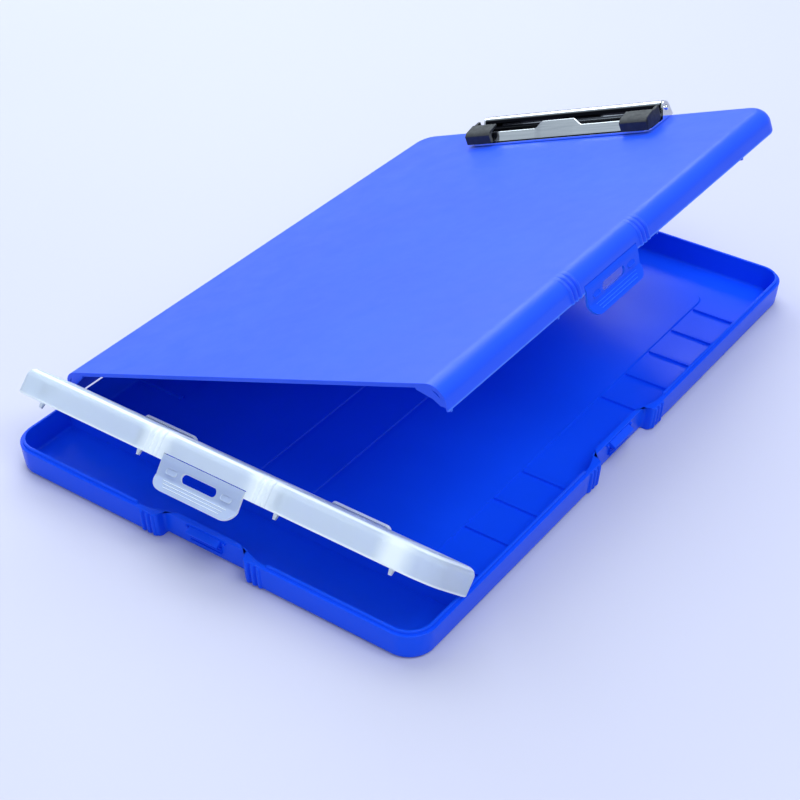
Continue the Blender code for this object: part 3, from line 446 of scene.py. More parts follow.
def wall_stations(length, notch_at):
    """Stations of one straight wall between its two rounded corners."""
    start = CORNER_RADIUS
    end = length - CORNER_RADIUS
    if notch_at is None:
        return [(start, 0, start, 0, 0, 1), (end, 0, end, 0, 0, 1)]
    half = notch_half_path()
    stations = [(start, 0, start, 0, 0, 1)]
    for sign, part in ((1, half), (-1, reversed(half))):
        for along, depth, inner, inner_depth, ridge, lip in part:
            stations.append((notch_at + sign * along, depth, notch_at + sign * inner, inner_depth,
                             ridge, lip))
    stations.append((end, 0, end, 0, 0, 1))
    return stations


def perimeter():
    """The whole outline: (origin, along, inward, wall station), or no station on a corner."""
    sides = [
        (Vector((0, 0)), Vector((1, 0)), Vector((0, 1)), WIDTH, FRONT_NOTCH_X),
        (Vector((WIDTH, 0)), Vector((0, 1)), Vector((-1, 0)), LENGTH, SIDE_NOTCH_Y),
        (Vector((WIDTH, LENGTH)), Vector((-1, 0)), Vector((0, -1)), WIDTH, None),
        (Vector((0, LENGTH)), Vector((0, -1)), Vector((1, 0)), LENGTH, None),
    ]
    path = []
    for origin, along, inward, length, notch in sides:
        for station in wall_stations(length, notch):
            path.append((origin, along, inward, station))
        centre = origin + along * (length - CORNER_RADIUS) + inward * CORNER_RADIUS
        for k in range(1, CORNER_STEPS):
            turn = math.radians(90 * k / CORNER_STEPS)
            outward = -inward * math.cos(turn) + along * math.sin(turn)
            path.append((centre, None, -outward, None))
    return path


def ring(path, inset, height, mix=0.0, ridge=0.0, notch=1.0, notch_height=None):
    """One ring of points: inset from the outside, mixed towards the inner flange line."""
    points = []
    for origin, along, inward, station in path:
        if station is None:
            spot = origin - inward * (CORNER_RADIUS - inset)
            points.append((spot.x, spot.y, height))
            continue
        out_at, out_depth, in_at, in_depth, is_ridge, lip = station
        place = out_at + (in_at - out_at) * mix * notch
        depth = (out_depth + (in_depth - out_depth) * mix) * notch + inset
        depth -= RIDGE_RISE * is_ridge * ridge
        spot = origin + along * place + inward * depth
        level = height
        if notch_height is not None:
            level = notch_height + (height - notch_height) * lip
        points.append((spot.x, spot.y, level))
    return points


# ---------------------------------------------------------------- tray
def tray_shell():
    path = perimeter()
    flange = LEDGE_Z + FLANGE_RISE
    top = LEDGE_Z + LIP_RISE
    soft = TRAY_SOFT
    foot = TRAY_FOOT
    rows = []
    for inset, z in arc((WALL_DRAFT + foot, foot), foot, 270, 180, 7):
        rows.append(ring(path, inset, z, ridge=min(1.0, z / foot + 0.5)))
    rows.append(ring(path, WALL_DRAFT / 2, LEDGE_Z / 2, ridge=1.0))
    for drop, strength in RIDGE_FADE:
        rows.append(ring(path, HAIR, LEDGE_Z - drop, ridge=strength))
    rows.append(ring(path, 0.0, LEDGE_Z - BITE))
    for inset, z in arc((soft, LEDGE_Z - soft), soft, 180, 90, 4):
        rows.append(ring(path, inset, z))
    rows.append(ring(path, LIP_OUT - HAIR, LEDGE_Z, mix=0.12))
    rows.append(ring(path, LIP_OUT, LEDGE_Z + HAIR, mix=0.20, notch_height=flange))
    for k, (inset, z) in enumerate(arc((LIP_OUT + soft, top - soft), soft, 180, 90, 4)):
        rows.append(ring(path, inset, z, mix=0.30 + 0.06 * k, notch_height=flange))
    for k, (inset, z) in enumerate(arc((LIP_IN - soft, top - soft), soft, 90, 0, 4)):
        drop = flange - 0.0003 * (k / 4) ** 2
        rows.append(ring(path, inset, z, mix=0.88 + 0.03 * k, notch_height=drop))
    rows.append(ring(path, LIP_IN + 0.0004, LEDGE_Z / 2, mix=1.0))
    centre = (LIP_IN + WALL_FOOT + TRAY_ROUND, FLOOR_Z + TRAY_ROUND)
    for inset, z in arc(centre, TRAY_ROUND, 180, 270, 7):
        rows.append(ring(path, inset, z, mix=1.0))
    return loft(rows, "tray")


def floor_panel_meshes():
    """Low raised panels on the tray floor, with a strip between them."""
    meshes = []
    centre_y = (PANEL_FRONT_Y + PANEL_BACK_Y) / 2
    for k, (left, right) in enumerate(PANEL_X):
        left_round = PANEL_CORNER if k == 0 else PANEL_TIGHT
        right_round = PANEL_CORNER if k == len(PANEL_X) - 1 else PANEL_TIGHT
        outline = rounded_outline(left, right, PANEL_FRONT_Y, PANEL_BACK_Y, left_round,
                                  right_round, 12)
        centre_x = (left + right) / 2
        rows = []
        for level, shrink in ((FLOOR_Z - SINK, 0.0), (FLOOR_Z, 0.0),
                              (FLOOR_Z + PANEL_RISE, PANEL_SLOPE)):
            fit_x = 1 - shrink / ((right - left) / 2)
            fit_y = 1 - shrink / ((PANEL_BACK_Y - PANEL_FRONT_Y) / 2)
            rows.append([(centre_x + (x - centre_x) * fit_x, centre_y + (y - centre_y) * fit_y,
                          level) for x, y in outline])
        meshes.append(loft(rows, "panel"))
    return meshes


def floor_rib_meshes():
    """Short cross ribs between the raised panel and the two long walls."""
    high = FLOOR_Z + RIB_RISE
    meshes = []
    for k in range(RIB_COUNT):
        if k in RIB_SKIPPED:
            continue
        middle = RIB_FIRST_Y + RIB_PITCH * k
        for left, right in RIB_X:
            outline = [(middle - RIB_FOOT, FLOOR_Z - SINK), (middle + RIB_FOOT, FLOOR_Z - SINK),
                       (middle + RIB_CREST, high), (middle - RIB_CREST, high)]
            meshes.append(prism_mesh(outline, "x", left, right))
    return meshes


def divider_meshes():
    """Cross wall behind the pens, with the lugs of the pen cover's hinge."""
    low = FLOOR_Z - SINK
    wall_y = COVER_HINGE_Y
    half = DIVIDER_THICK / 2
    top = COVER_HINGE_Z - COVER_KNUCKLE_RADIUS - SINK
    end = LIP_IN + BITE
    wall = [(end, low), (WIDTH - end, low), (WIDTH - end, LEDGE_Z - SINK),
            (WIDTH - DIVIDER_SHOULDER, top), (DIVIDER_SHOULDER, top), (end, LEDGE_Z - SINK)]
    meshes = [prism_mesh(wall, "y", wall_y - half, wall_y + half)]
    for middle in COVER_HINGE_X:
        reach = COVER_KNUCKLE / 2 + GAP
        for side in (-1, 1):
            near = middle + side * reach
            far = middle + side * (reach + COVER_LUG)
            radius = COVER_KNUCKLE_RADIUS
            outline = arc(COVER_AXIS, radius, 0, 180, 10)
            outline += [(wall_y - radius, top - LUG_CHEEK), (wall_y - half, top - LUG_FOOT)]
            outline += [(wall_y + half, top - LUG_FOOT), (wall_y + radius, top - LUG_CHEEK)]
            meshes.append(prism_mesh(outline, "x", near, far))
    return meshes


def pocket_meshes():
    """What holds the two hinge guards: a pair of webs in front of each and a rib behind it."""
    meshes = []
    low = FLOOR_Z - SINK
    face = GUARD_FACE_Y - GAP
    back = GUARD_FACE_Y + GUARD_THICK + GAP
    for middle in COVER_HINGE_X:
        left = middle - GUARD_HALF
        right = middle + GUARD_HALF
        for edge in (left + WEB_IN, right - WEB_IN):
            web = [(COVER_HINGE_Y, low), (face, low), (face, WEB_BACK_Z),
                   (COVER_HINGE_Y, WEB_FRONT_Z)]
            meshes.append(prism_mesh(web, "x", edge - WEB_HALF, edge + WEB_HALF))
        meshes.append(box_mesh((left, back, low), (right, back + POCKET_THICK, POCKET_Z)))
    return meshes


def guard_mesh(middle):
    """Upright leaf with rounded top corners that keeps paper off the pen cover's hinge."""
    left = middle - GUARD_HALF
    right = middle + GUARD_HALF
    radius = GUARD_CORNER
    top = GUARD_TOP_Z - radius
    low = FLOOR_Z + GAP
    outline = [(left, low), (right, low)]
    outline += arc((right - radius, top), radius, 0, 90, 14)
    outline += arc((left + radius, top), radius, 90, 180, 14)
    return prism_mesh(outline, "y", GUARD_FACE_Y, GUARD_FACE_Y + GUARD_THICK)


def catch_meshes():
    """Wedge and grip lines on a recess wall, drawn with +X along the wall and +Y inwards."""
    meshes = [prism_mesh(CATCH_WEDGE, "x", -CATCH_HALF, CATCH_HALF)]
    for k in range(3):
        level = LINE_TOP_Z - LINE_PITCH * k
        line = [(CATCH_WALL, level - LINE_HALF), (CATCH_WALL, level + LINE_HALF),
                (CATCH_PROUD, level + LINE_HALF / 2), (CATCH_PROUD, level - LINE_HALF / 2)]
        meshes.append(prism_mesh(line, "x", -CATCH_HALF, CATCH_HALF))
    for at in (-STUB_AT, STUB_AT):
        meshes.append(prism_mesh(CATCH_STUB, "x", at - STUB_HALF, at + STUB_HALF))
    return meshes


def placed(mesh, x, y, turn_deg=0):
    """Take a mesh drawn at the origin to its place, turned about Z."""
    turn = Matrix.Rotation(math.radians(turn_deg), 4, "Z")
    mesh.transform(Matrix.Translation((x, y, 0)) @ turn)
    return mesh


def at_front_notch(mesh):
    return placed(mesh, FRONT_NOTCH_X, 0)


def at_side_notch(mesh):
    return placed(mesh, WIDTH, SIDE_NOTCH_Y, 90)


def knuckle_parts(middle, length, web_low, web_high):
    """Barrel on the lid's hinge line plus the web that ties it to a wall."""
    low = middle - length / 2
    high = middle + length / 2
    barrel = rod_mesh("y", LID_AXIS, KNUCKLE_RADIUS, low, high, 48)
    web = box_mesh((LID_HINGE_X, low + HAIR, web_low), (SKIRT_FOOT + HAIR, high - HAIR, web_high))
    return [barrel, web]


def tray_mesh():
    mesh = tray_shell()
    adds = floor_panel_meshes() + floor_rib_meshes()
    adds += divider_meshes() + pocket_meshes()
    adds += [at_front_notch(mesh_part) for mesh_part in catch_meshes()]
    adds += [at_side_notch(mesh_part) for mesh_part in catch_meshes()]
    bores = []
    web_low = LID_HINGE_Z - KNUCKLE_RADIUS + HAIR
    for middle in LID_HINGE_Y:
        for side in (-1, 1):
            beside = middle + side * KNUCKLE_STEP
            adds += knuckle_parts(beside, TRAY_KNUCKLE, web_low, LEDGE_Z - HAIR)
        half = LID_KNUCKLE / 2 + TRAY_KNUCKLE + BORE_RUN
        bores.append(middle_rod("y", LID_AXIS, KNUCKLE_BORE, middle, half))
    for middle in COVER_HINGE_X:
        half = COVER_KNUCKLE / 2 + COVER_LUG + BORE_RUN
        bores.append(middle_rod("x", COVER_AXIS, COVER_BORE, middle, half))
    mesh = combine(mesh, adds, "UNION")
    return combine(mesh, bores, "DIFFERENCE")


# ---------------------------------------------------------------- lid and pen cover
def shell_path():
    """The outline without its recesses: stations that differ only in depth are taken once."""
    path = []
    before = None
    for point in perimeter():
        station = point[3]
        at = None if station is None else station[0]
        if at is None or before is None or abs(at - before) > SAME_PLACE:
            path.append(point)
        before = at
    return path


def shell_mesh(edge=EDGE_RADIUS):
    """The whole top shell; the lid and the pen cover are cut from it."""
    path = shell_path()
    rows = []
    for k in range(EDGE_STEPS + 1):
        turn = math.radians(90 * (1 - k / EDGE_STEPS))
        inset = edge * (1 - math.cos(turn))
        height = TOP_Z - edge * (1 - math.sin(turn))
        strength = min(1.0, RIDGE_GROWTH * k / EDGE_STEPS)
        rows.append(ring(path, inset, height, notch=0, ridge=strength))
    rows.append(ring(path, 0.0, SKIRT_Z + RIM_HIGHLIGHT_BAND, notch=0, ridge=1.0))
    rows.append(ring(path, 0.0, SKIRT_Z + RIM_RISE, notch=0, ridge=1.0))
    rows.append(ring(path, RIM_IN, SKIRT_Z, notch=0, ridge=0.6))
    rows.append(ring(path, SKIRT_FOOT, SKIRT_Z, notch=0))
    rows.append(ring(path, SKIRT_FOOT, SKIRT_Z + REBATE, notch=0))
    rows.append(ring(path, SKIN, SKIRT_Z + REBATE + REBATE_RISE, notch=0))
    inner = edge - SKIN
    for k in range(EDGE_STEPS + 1):
        turn = math.radians(90 * k / EDGE_STEPS)
        inset = SKIN + inner * (1 - math.cos(turn))
        height = TOP_Z - SKIN - inner * (1 - math.sin(turn))
        rows.append(ring(path, inset, height, notch=0))
    return loft(rows, "shell")


def latch_window():
    """Opening in the skirt that the latch flap hangs in, +X along the wall, +Y inwards."""
    half = FLAP_HALF + GAP
    return box_mesh((-half, -PROBE, SKIRT_Z - PROBE), (half, SKIN + BITE, WINDOW_TOP_Z))


def prong_mesh(inner):
    """Small locating prong that reaches down inside the tray's tongue, with its web."""
    low = SKIRT_Z - PRONG_DROP
    root = SKIN - BITE
    under = TOP_Z - SKIN
    outline = [(inner, low), (inner + PRONG_TIP, low), (inner + PRONG_ROOT, SKIRT_Z + PRONG_NECK),
               (PRONG_WEB_IN, under + PRONG_SINK), (root, under - PRONG_NECK),
               (root, SKIRT_Z + PRONG_WEB_Z), (inner, SKIRT_Z + PRONG_FACE_Z)]
    mesh = prism_mesh(outline, "x", -PRONG_HALF, PRONG_HALF)
    for vertex in mesh.vertices:
        up = min(1.0, (vertex.co.z - low) / (SKIRT_Z + REBATE - low))
        vertex.co.x *= PRONG_NARROW + PRONG_SPREAD * up
    return mesh


def end_gusset(mirror):
    """Web that closes the open end of the lid's side skirt, as (x, z) points."""
    low = SKIRT_Z + REBATE + BITE
    root = SKIN - GUSSET_SINK
    under = TOP_Z - SKIN
    outline = [(root, low), (SKIN + GUSSET_FOOT, low), (SKIN + GUSSET_BEND, low + GUSSET_RISE),
               (GUSSET_REACH, under - GUSSET_SINK), (GUSSET_REACH, under + BITE),
               (EDGE_RADIUS - GUSSET_TOP, under + BITE), (root, TOP_Z - EDGE_RADIUS)]
    if mirror:
        outline = [(WIDTH - x, z) for x, z in outline]
    return prism_mesh(outline, "y", LID_START, LID_START + GUSSET_THICK)


def lid_mesh():
    mesh = shell_mesh()
    keep = box_mesh((-WIDE, LID_START, 0), (WIDTH + WIDE, LENGTH + WIDE, TALL))
    mesh = combine(mesh, [keep], "INTERSECT")
    adds = [end_gusset(False), end_gusset(True)]
    adds += [placed(prong_mesh(SIDE_PRONG_IN), WIDTH, y, 90) for y in SIDE_PRONG_Y]
    for middle in LID_HINGE_Y:
        adds += knuckle_parts(middle, LID_KNUCKLE, SKIRT_Z + HAIR, LID_HINGE_Z + KNUCKLE_RADIUS)
    mesh = combine(mesh, adds, "UNION")
    cuts = [at_side_notch(latch_window())]
    for middle in LID_HINGE_Y:
        cuts.append(middle_rod("y", LID_AXIS, KNUCKLE_BORE, middle, LID_KNUCKLE / 2 + BORE_RUN))
        for side in (-1, 1):
            beside = middle + side * KNUCKLE_STEP
            room = TRAY_KNUCKLE / 2 + KNUCKLE_ROOM
            cuts.append(middle_rod("y", LID_AXIS, KNUCKLE_RADIUS + GAP, beside, room, 24))
    for x in RIVET_X:
        cuts.append(middle_rod("z", (x, RIVET_Y), RIVET_HOLE, TOP_Z, PROBE, 16))
    return combine(mesh, cuts, "DIFFERENCE")


def back_round():
    """Cutter that rounds the pen cover's back edge about its hinge, to pass the shut lid."""
    outline = arc(COVER_AXIS, BACK_RADIUS, 0, 90, 12)
    outline += [(COVER_HINGE_Y, TOP_Z + PROBE), (LID_START, TOP_Z + PROBE),
                (LID_START, COVER_HINGE_Z)]
    return prism_mesh(outline, "x", -PROBE, WIDTH + PROBE)


def swing_room(radius, low, high):
    """Cutter for what would dip below the ledge behind the pen cover's hinge."""
    outline = arc(COVER_AXIS, radius, -90, -38, 8)
    back = COVER_END + PROBE
    outline += [(back, outline[-1][1]), (back, SKIRT_Z - PROBE), (COVER_HINGE_Y, SKIRT_Z - PROBE)]
    return prism_mesh(outline, "x", low, high)


def cover_mesh():
    mesh = shell_mesh(COVER_EDGE)
    keep = box_mesh((-WIDE, -WIDE, 0), (WIDTH + WIDE, COVER_END, TALL))
    mesh = combine(mesh, [keep], "INTERSECT")
    adds = [placed(prong_mesh(FRONT_PRONG_IN), x, 0) for x in FRONT_PRONG_X]
    web_half = COVER_WEB_HALF
    for middle in COVER_HINGE_X:
        low = middle - COVER_KNUCKLE / 2
        high = middle + COVER_KNUCKLE / 2
        adds.append(rod_mesh("x", COVER_AXIS, COVER_KNUCKLE_RADIUS, low, high, 24))
        adds.append(box_mesh((low + HAIR, COVER_HINGE_Y - web_half, COVER_HINGE_Z),
                             (high - HAIR, COVER_HINGE_Y + web_half, TOP_Z - SKIN + BITE)))
    mesh = combine(mesh, adds, "UNION")
    cuts = [at_front_notch(latch_window()), back_round()]
    over_ledge = COVER_HINGE_Z - SKIRT_Z
    over_lip = COVER_HINGE_Z - LEDGE_Z - LIP_RISE - GAP
    cuts.append(swing_room(over_ledge, -BORE_RUN, WIDTH + BORE_RUN))
    cuts.append(swing_room(over_lip, SKIRT_FOOT, WIDTH - SKIRT_FOOT))
    for middle in COVER_HINGE_X:
        cuts.append(middle_rod("x", COVER_AXIS, COVER_BORE, middle, COVER_KNUCKLE / 2 + BORE_RUN))
    return combine(mesh, cuts, "DIFFERENCE")


# ---------------------------------------------------------------- latch flaps
def flap_face(z):
    """Depth of the flap's outer face below the skirt's outer face, at height z."""
    if z >= FLAP_FLUSH_Z:
        return 0.0
    if z >= FLAP_CREASE_Z:
        return FLAP_CREASE_IN * (FLAP_FLUSH_Z - z) / (FLAP_FLUSH_Z - FLAP_CREASE_Z)
    slope = (FLAP_CREASE_IN - FLAP_FOOT_IN) / (FLAP_CREASE_Z - FLAP_LOW_Z)
    return FLAP_FOOT_IN + slope * (z - FLAP_LOW_Z)


def flap_body():
    """Plain latch flap, +X along the wall, +Y into the tray, drawn shut."""
    half = FLAP_HALF
    low = FLAP_LOW_Z
    heights = (low, FLAP_CREASE_Z, FLAP_FLUSH_Z)
    section = [(flap_face(z), z) for z in heights]
    section += arc((FLAP_PIVOT_IN, FLAP_PIVOT_Z), FLAP_THICK / 2, 180, 0, 20)
    section += [(flap_face(z) + FLAP_THICK, z) for z in reversed(heights)]
    mesh = prism_mesh(section, "x", -half, half)
    front = arc((half - FLAP_CORNER, low + FLAP_CORNER), FLAP_CORNER, 0, -90, 16)
    front += arc((FLAP_CORNER - half, low + FLAP_CORNER), FLAP_CORNER, -90, -180, 16)
    front = [(min(max(x, -half), half), z) for x, z in front]
    front = [(half + PROBE, TOP_Z), (half + PROBE, low + FLAP_CORNER)] + front
    front += [(-half - PROBE, low + FLAP_CORNER), (-half - PROBE, TOP_Z)]
    mesh = combine(mesh, [prism_mesh(front, "y", -PROBE, 2 * PROBE)], "INTERSECT")
    radius = (SLOT_HIGH_Z - SLOT_LOW_Z) / 2
    middle = (SLOT_HIGH_Z + SLOT_LOW_Z) / 2
    outline = arc((SLOT_HALF - radius, middle), radius, -90, 90, 20)
    outline += arc((radius - SLOT_HALF, middle), radius, 90, 270, 20)
    mesh = combine(mesh, [prism_mesh(outline, "y", -PROBE, 2 * PROBE)], "DIFFERENCE")
    grips = []
    for k in range(3):
        z = GRIP_TOP_Z - GRIP_PITCH * k
        face = flap_face(z)
        reach = GRIP_HALF - GRIP_TAPER * k
        bar = [(face + LINE_HALF, z - LINE_HALF), (face - GRIP_PROUD, z),
               (face + LINE_HALF, z + LINE_HALF)]
        grips.append(prism_mesh(bar, "x", -reach, reach))
    return combine(mesh, grips, "UNION")


# ---------------------------------------------------------------- clip
def plate_mesh():
    """Base plate with its two upright ears."""
    left = CLIP_X - CLIP_HALF
    right = CLIP_X + CLIP_HALF
    low = TOP_Z + PLATE_LOW
    high = TOP_Z + PLATE_HIGH
    outline = [(left, CLIP_FRONT_Y + PLATE_NOSE), (left + PLATE_NOSE, CLIP_FRONT_Y),
               (right - PLATE_NOSE, CLIP_FRONT_Y), (right, CLIP_FRONT_Y + PLATE_NOSE),
               (right, CLIP_BACK_Y), (left, CLIP_BACK_Y)]
    mesh = prism_mesh(outline, "z", low, high)
    ears = []
    foot = high - EAR_SINK
    for side in (-1, 1):
        inner = CLIP_X + side * (CLIP_HALF - SHEET)
        outer = CLIP_X + side * CLIP_HALF
        ear = arc(CLIP_AXIS, EAR_RADIUS, 0, 180, 10)
        ear += [(AXLE_Y - EAR_FOOT, foot), (CLIP_BACK_Y, foot)]
        ears.append(prism_mesh(ear, "x", inner, outer))
    mesh = combine(mesh, ears, "UNION")
    cuts = [rod_mesh("x", CLIP_AXIS, AXLE_RADIUS + GAP, left - PROBE, right + PROBE)]
    for x in RIVET_X:
        cuts.append(rod_mesh("z", (x, RIVET_Y), RIVET_HOLE, low - PROBE, high + PROBE, 16))
    return combine(mesh, cuts, "DIFFERENCE")


def cap_mesh(side):
    """Rubber corner on the jaw: an arm along the front edge and an arm going back."""
    low = TOP_Z + PLATE_HIGH + CAP_CLEAR
    outer = CLIP_X + side * (CLIP_HALF + CAP_OVER)
    halves = []
    for profile, inner in ((CAP_ARM, CLIP_HALF - CAP_LENGTH), (CAP_CHEEK, CLIP_HALF - SHEET - GAP)):
        outline = [(CLIP_FRONT_Y + y, low + z) for y, z in profile]
        halves.append(prism_mesh(outline, "x", outer, CLIP_X + side * inner))
    return combine(halves[0], halves[1:], "UNION")


def spring_mesh(middle):
    """Torsion spring inside the roll, with two straight legs that point forwards."""
    wire = SPRING_WIRE
    length = SPRING_PITCH * SPRING_TURNS
    steps = 14 * SPRING_TURNS
    sides = 6
    first = math.radians(-100)
    total = 2 * math.pi * SPRING_TURNS + math.radians(20)
    points = []
    for k in range(steps + 1):
        angle = first + total * k / steps
        points.append(Vector((middle - length / 2 + length * k / steps,
                              AXLE_Y + SPRING_COIL * math.cos(angle),
                              TOP_Z + AXLE_UP + SPRING_COIL * math.sin(angle))))
    leg_y = AXLE_Y - SPRING_LEG
    foot = Vector((points[0].x, leg_y, TOP_Z + PLATE_HIGH + GAP + wire))
    head = Vector((points[-1].x, leg_y, TOP_Z + VALLEY_UP - SHEET - 2 * wire))
    points = [foot] + points + [head]
    rows = []
    for k, point in enumerate(points):
        ahead = points[min(k + 1, len(points) - 1)]
        behind = points[max(k - 1, 0)]
        tangent = (ahead - behind).normalized()
        side_dir = tangent.cross(Vector((1, 0, 0))).normalized()
        up_dir = side_dir.cross(tangent).normalized()
        circle = []
        for n in range(sides):
            turn = 2 * math.pi * n / sides
            spot = point + side_dir * wire * math.cos(turn) + up_dir * wire * math.sin(turn)
            circle.append(tuple(spot))
        rows.append(circle)
    return loft(rows, "spring")


def turned_mesh(profile, sides):
    """Lathe (radius, z) pairs around the Z axis through the origin."""
    rows = []
    for radius, z in profile:
        rows.append([(radius * math.cos(2 * math.pi * k / sides),
                      radius * math.sin(2 * math.pi * k / sides), z) for k in range(sides)])
    return loft(rows, "turned")


# ---------------------------------------------------------------- finer clip parts
def rail_profile(lift):
    """Cross-section of the jaw: a front rail that leans back, a deep valley and the rear roll."""
    centre = (AXLE_Y, TOP_Z + AXLE_UP)
    front = CLIP_FRONT_Y + RAIL_BACK
    low = TOP_Z + PLATE_HIGH + GAP
    crest = low + RAIL_HIGH + lift
    lean = RAIL_LEAN + RAIL_LEAN_SHARE * lift
    half = SHEET / 2
    bead = RAIL_BEAD
    dip = TOP_Z + VALLEY_UP
    fillet = VALLEY_FILLET
    valley = front + lean + VALLEY_AWAY + fillet
    outer = arc((front + half, low + half), half, -90, -180, 6)
    outer += arc((front + lean + bead, crest - bead), bead, 150, 10, 10)
    outer += arc((valley, dip + fillet), fillet, 190, 270, 8)
    outer += arc((AXLE_Y - ROLL_RADIUS - fillet, dip + fillet), fillet, 270, 350, 8)
    outer += arc(centre, ROLL_RADIUS, 176, -60, 44)
    inner = arc(centre, ROLL_RADIUS - SHEET, -60, 172, 44)
    wide = fillet + SHEET
    inner += arc((AXLE_Y - ROLL_RADIUS - fillet, dip + fillet), wide, 340, 270, 8)
    inner += arc((valley, dip + fillet), wide, 270, 205, 8)
    inner += [(front + lean + bead, crest - SHEET - bead), (front + SHEET, low + half)]
    return outer + inner


def jaw_mesh():
    half = CLIP_HALF - SHEET - 2 * GAP
    slope_steps = 10
    slope = [TAB_LOW + (TAB_HIGH - TAB_LOW) * k / slope_steps for k in range(slope_steps + 1)]
    right = slope + [TAB_HIGH + TAB_PLAIN, half - END_STRIP, half]
    stations = [-at for at in reversed(right)] + [0.0] + right
    rows = []
    for at in sorted(stations):
        away = min(1.0, max(0.0, (TAB_HIGH - abs(at)) / (TAB_HIGH - TAB_LOW)))
        rows.append([(CLIP_X + at, y, z) for y, z in rail_profile(TAB_RISE * smooth_step(away))])
    return loft(rows, "jaw")


def rivet_mesh(x):
    """Rivet with a domed head; RIVET_TAIL gives (radius, distance below the lid's skin)."""
    head = TOP_Z + PLATE_HIGH + GAP
    tail = TOP_Z - SKIN - GAP
    dome = RIVET_DOME - HAIR
    profile = [(HAIR / 2, head + RIVET_DOME)]
    for k in range(1, 9):
        turn = math.radians(90 * k / 8)
        profile.append((RIVET_HEAD * math.sin(turn), head + HAIR + dome * math.cos(turn)))
    profile += [(RIVET_HEAD, head), (RIVET_RADIUS, head), (RIVET_RADIUS, tail)]
    profile += [(radius, tail - down) for radius, down in RIVET_TAIL]
    return placed(turned_mesh(profile, 40), x, RIVET_Y)


def pin_mesh(axis, centre, radius, low, high):
    """Round pin with domed ends."""
    dome = radius * PIN_DOME
    profile = []
    for k in range(7):
        turn = math.radians(90 * k / 6)
        across = max(PIN_TIP, radius * math.sin(turn))
        profile.append((across, low + dome * (1 - math.cos(turn))))
    for radius_here, level in reversed(profile):
        profile.append((radius_here, high - (level - low)))
    mesh = turned_mesh(profile, 36)
    if axis == "x":
        swap = Matrix(((0, 0, 1, 0), (1, 0, 0, centre[0]), (0, 1, 0, centre[1]), (0, 0, 0, 1)))
    else:
        swap = Matrix(((0, 1, 0, centre[0]), (0, 0, 1, 0), (1, 0, 0, centre[1]), (0, 0, 0, 1)))
    mesh.transform(swap)
    return mesh


def flap_mesh():
    """The latch flap with a raised outline on each side of its slot."""
    mesh = flap_body()
    middle = (SLOT_HIGH_Z + SLOT_LOW_Z) / 2
    adds = []
    for side in (-1, 1):
        centre_x = side * (SLOT_HALF + FRAME_AWAY)
        for grow in (0.0, FRAME_RIM):
            half_x = FRAME_HALF_X - grow
            half_z = FRAME_HALF_Z - grow
            rounding = FRAME_CORNER - grow
            adds.append((grow, rounded_outline(centre_x - half_x, centre_x + half_x, middle - half_z,
                                               middle + half_z, rounding, rounding, 5)))
    face = flap_face(middle)
    for grow, outline in adds:
        if grow == 0.0:
            mesh = combine(mesh, [prism_mesh(outline, "y", face - FRAME_RIM, face + FRAME_ROOT)], "UNION")
        else:
            cut = prism_mesh(outline, "y", face - FRAME_PROBE, face - FRAME_FLOOR)
            mesh = combine(mesh, [cut], "DIFFERENCE")
    return mesh


# ---------------------------------------------------------------- procedural materials
LID_TURN = math.radians(JOINTS["lid_hinge"]["range_deg"][0])
VALLEY_REFLECTION_FROM = 0.0060        # painted dark reflection in the jaw's valley, starting this far back from the plate's front edge
VALLEY_REFLECTION_FADE = 0.0006
VALLEY_REFLECTION_END = 0.0018
NOISE_LOW = 0.3           # noise hardly leaves this range
NOISE_HIGH = 0.7
SHARP = math.radians(38)  # edges sharper than this are broken and kept crisp
BLUE_LOW = (0.004, 0.076, 0.87)
BLUE_HIGH = (0.006, 0.088, 0.91)


def new_material(name):
    material = bpy.data.materials.new(name)
    material.use_nodes = True
    tree = material.node_tree
    return material, tree, tree.nodes["Principled BSDF"]


def fill(tree, node, **values):
    """Set or link a node's inputs by name; an underscore stands for a space."""
    for name, value in values.items():
        socket = node.inputs[name.replace("_", " ")]
        if isinstance(value, bpy.types.NodeSocket):
            tree.links.new(value, socket)
        else:
            socket.default_value = value
    return node


def add_node(tree, kind, **values):
    return fill(tree, tree.nodes.new("ShaderNode" + kind), **values)


def place_node(tree, axis, output="Object"):
    """One coordinate of the shaded point."""
    place = add_node(tree, "TexCoord").outputs[output]
    return add_node(tree, "SeparateXYZ", Vector=place).outputs[axis]


def mix_node(tree, factor, first, second):
    blend = tree.nodes.new("ShaderNodeMix")
    blend.data_type = "RGBA"
    return fill(tree, blend, Factor=factor, A=first, B=second).outputs["Result"]


def zone_node(tree, axis, low, high, stops):
    """Shade by the place between low and high on an axis; stops are (share of the way, shade)."""
    along = add_node(tree, "MapRange", Value=place_node(tree, axis), From_Min=low, From_Max=high)
    zones = add_node(tree, "ValToRGB", Fac=along.outputs["Result"])
    ramp = zones.color_ramp.elements
    ramp[0].color = (0.0, 0.0, 0.0, 1.0)
    ramp[1].color = (0.0, 0.0, 0.0, 1.0)
    for share, shade in stops:
        ramp.new(share).color = (shade, shade, shade, 1.0)
    return zones.outputs["Color"]


def noise_node(tree, scale, detail=3.0, run=1.0, turn=0.0):
    """Noise whose grain is drawn out run times along X, turned about Y by turn."""
    mapping = tree.nodes.new("ShaderNodeMapping")
    mapping.vector_type = "TEXTURE"
    fill(tree, mapping, Vector=add_node(tree, "TexCoord").outputs["Object"],
         Rotation=(0.0, turn, 0.0), Scale=(run, 1.0, 1.0))
    noise = add_node(tree, "TexNoise", Vector=mapping.outputs["Vector"], Scale=scale, Detail=detail)
    return noise.outputs["Fac"]


def ramp_node(tree, source, low, high, start=NOISE_LOW, end=NOISE_HIGH):
    ramp = add_node(tree, "ValToRGB", Fac=source)
    for stop, at, colour in zip(ramp.color_ramp.elements, (start, end), (low, high)):
        stop.position = at
        stop.color = (*colour, 1.0)
    return ramp.outputs["Color"]


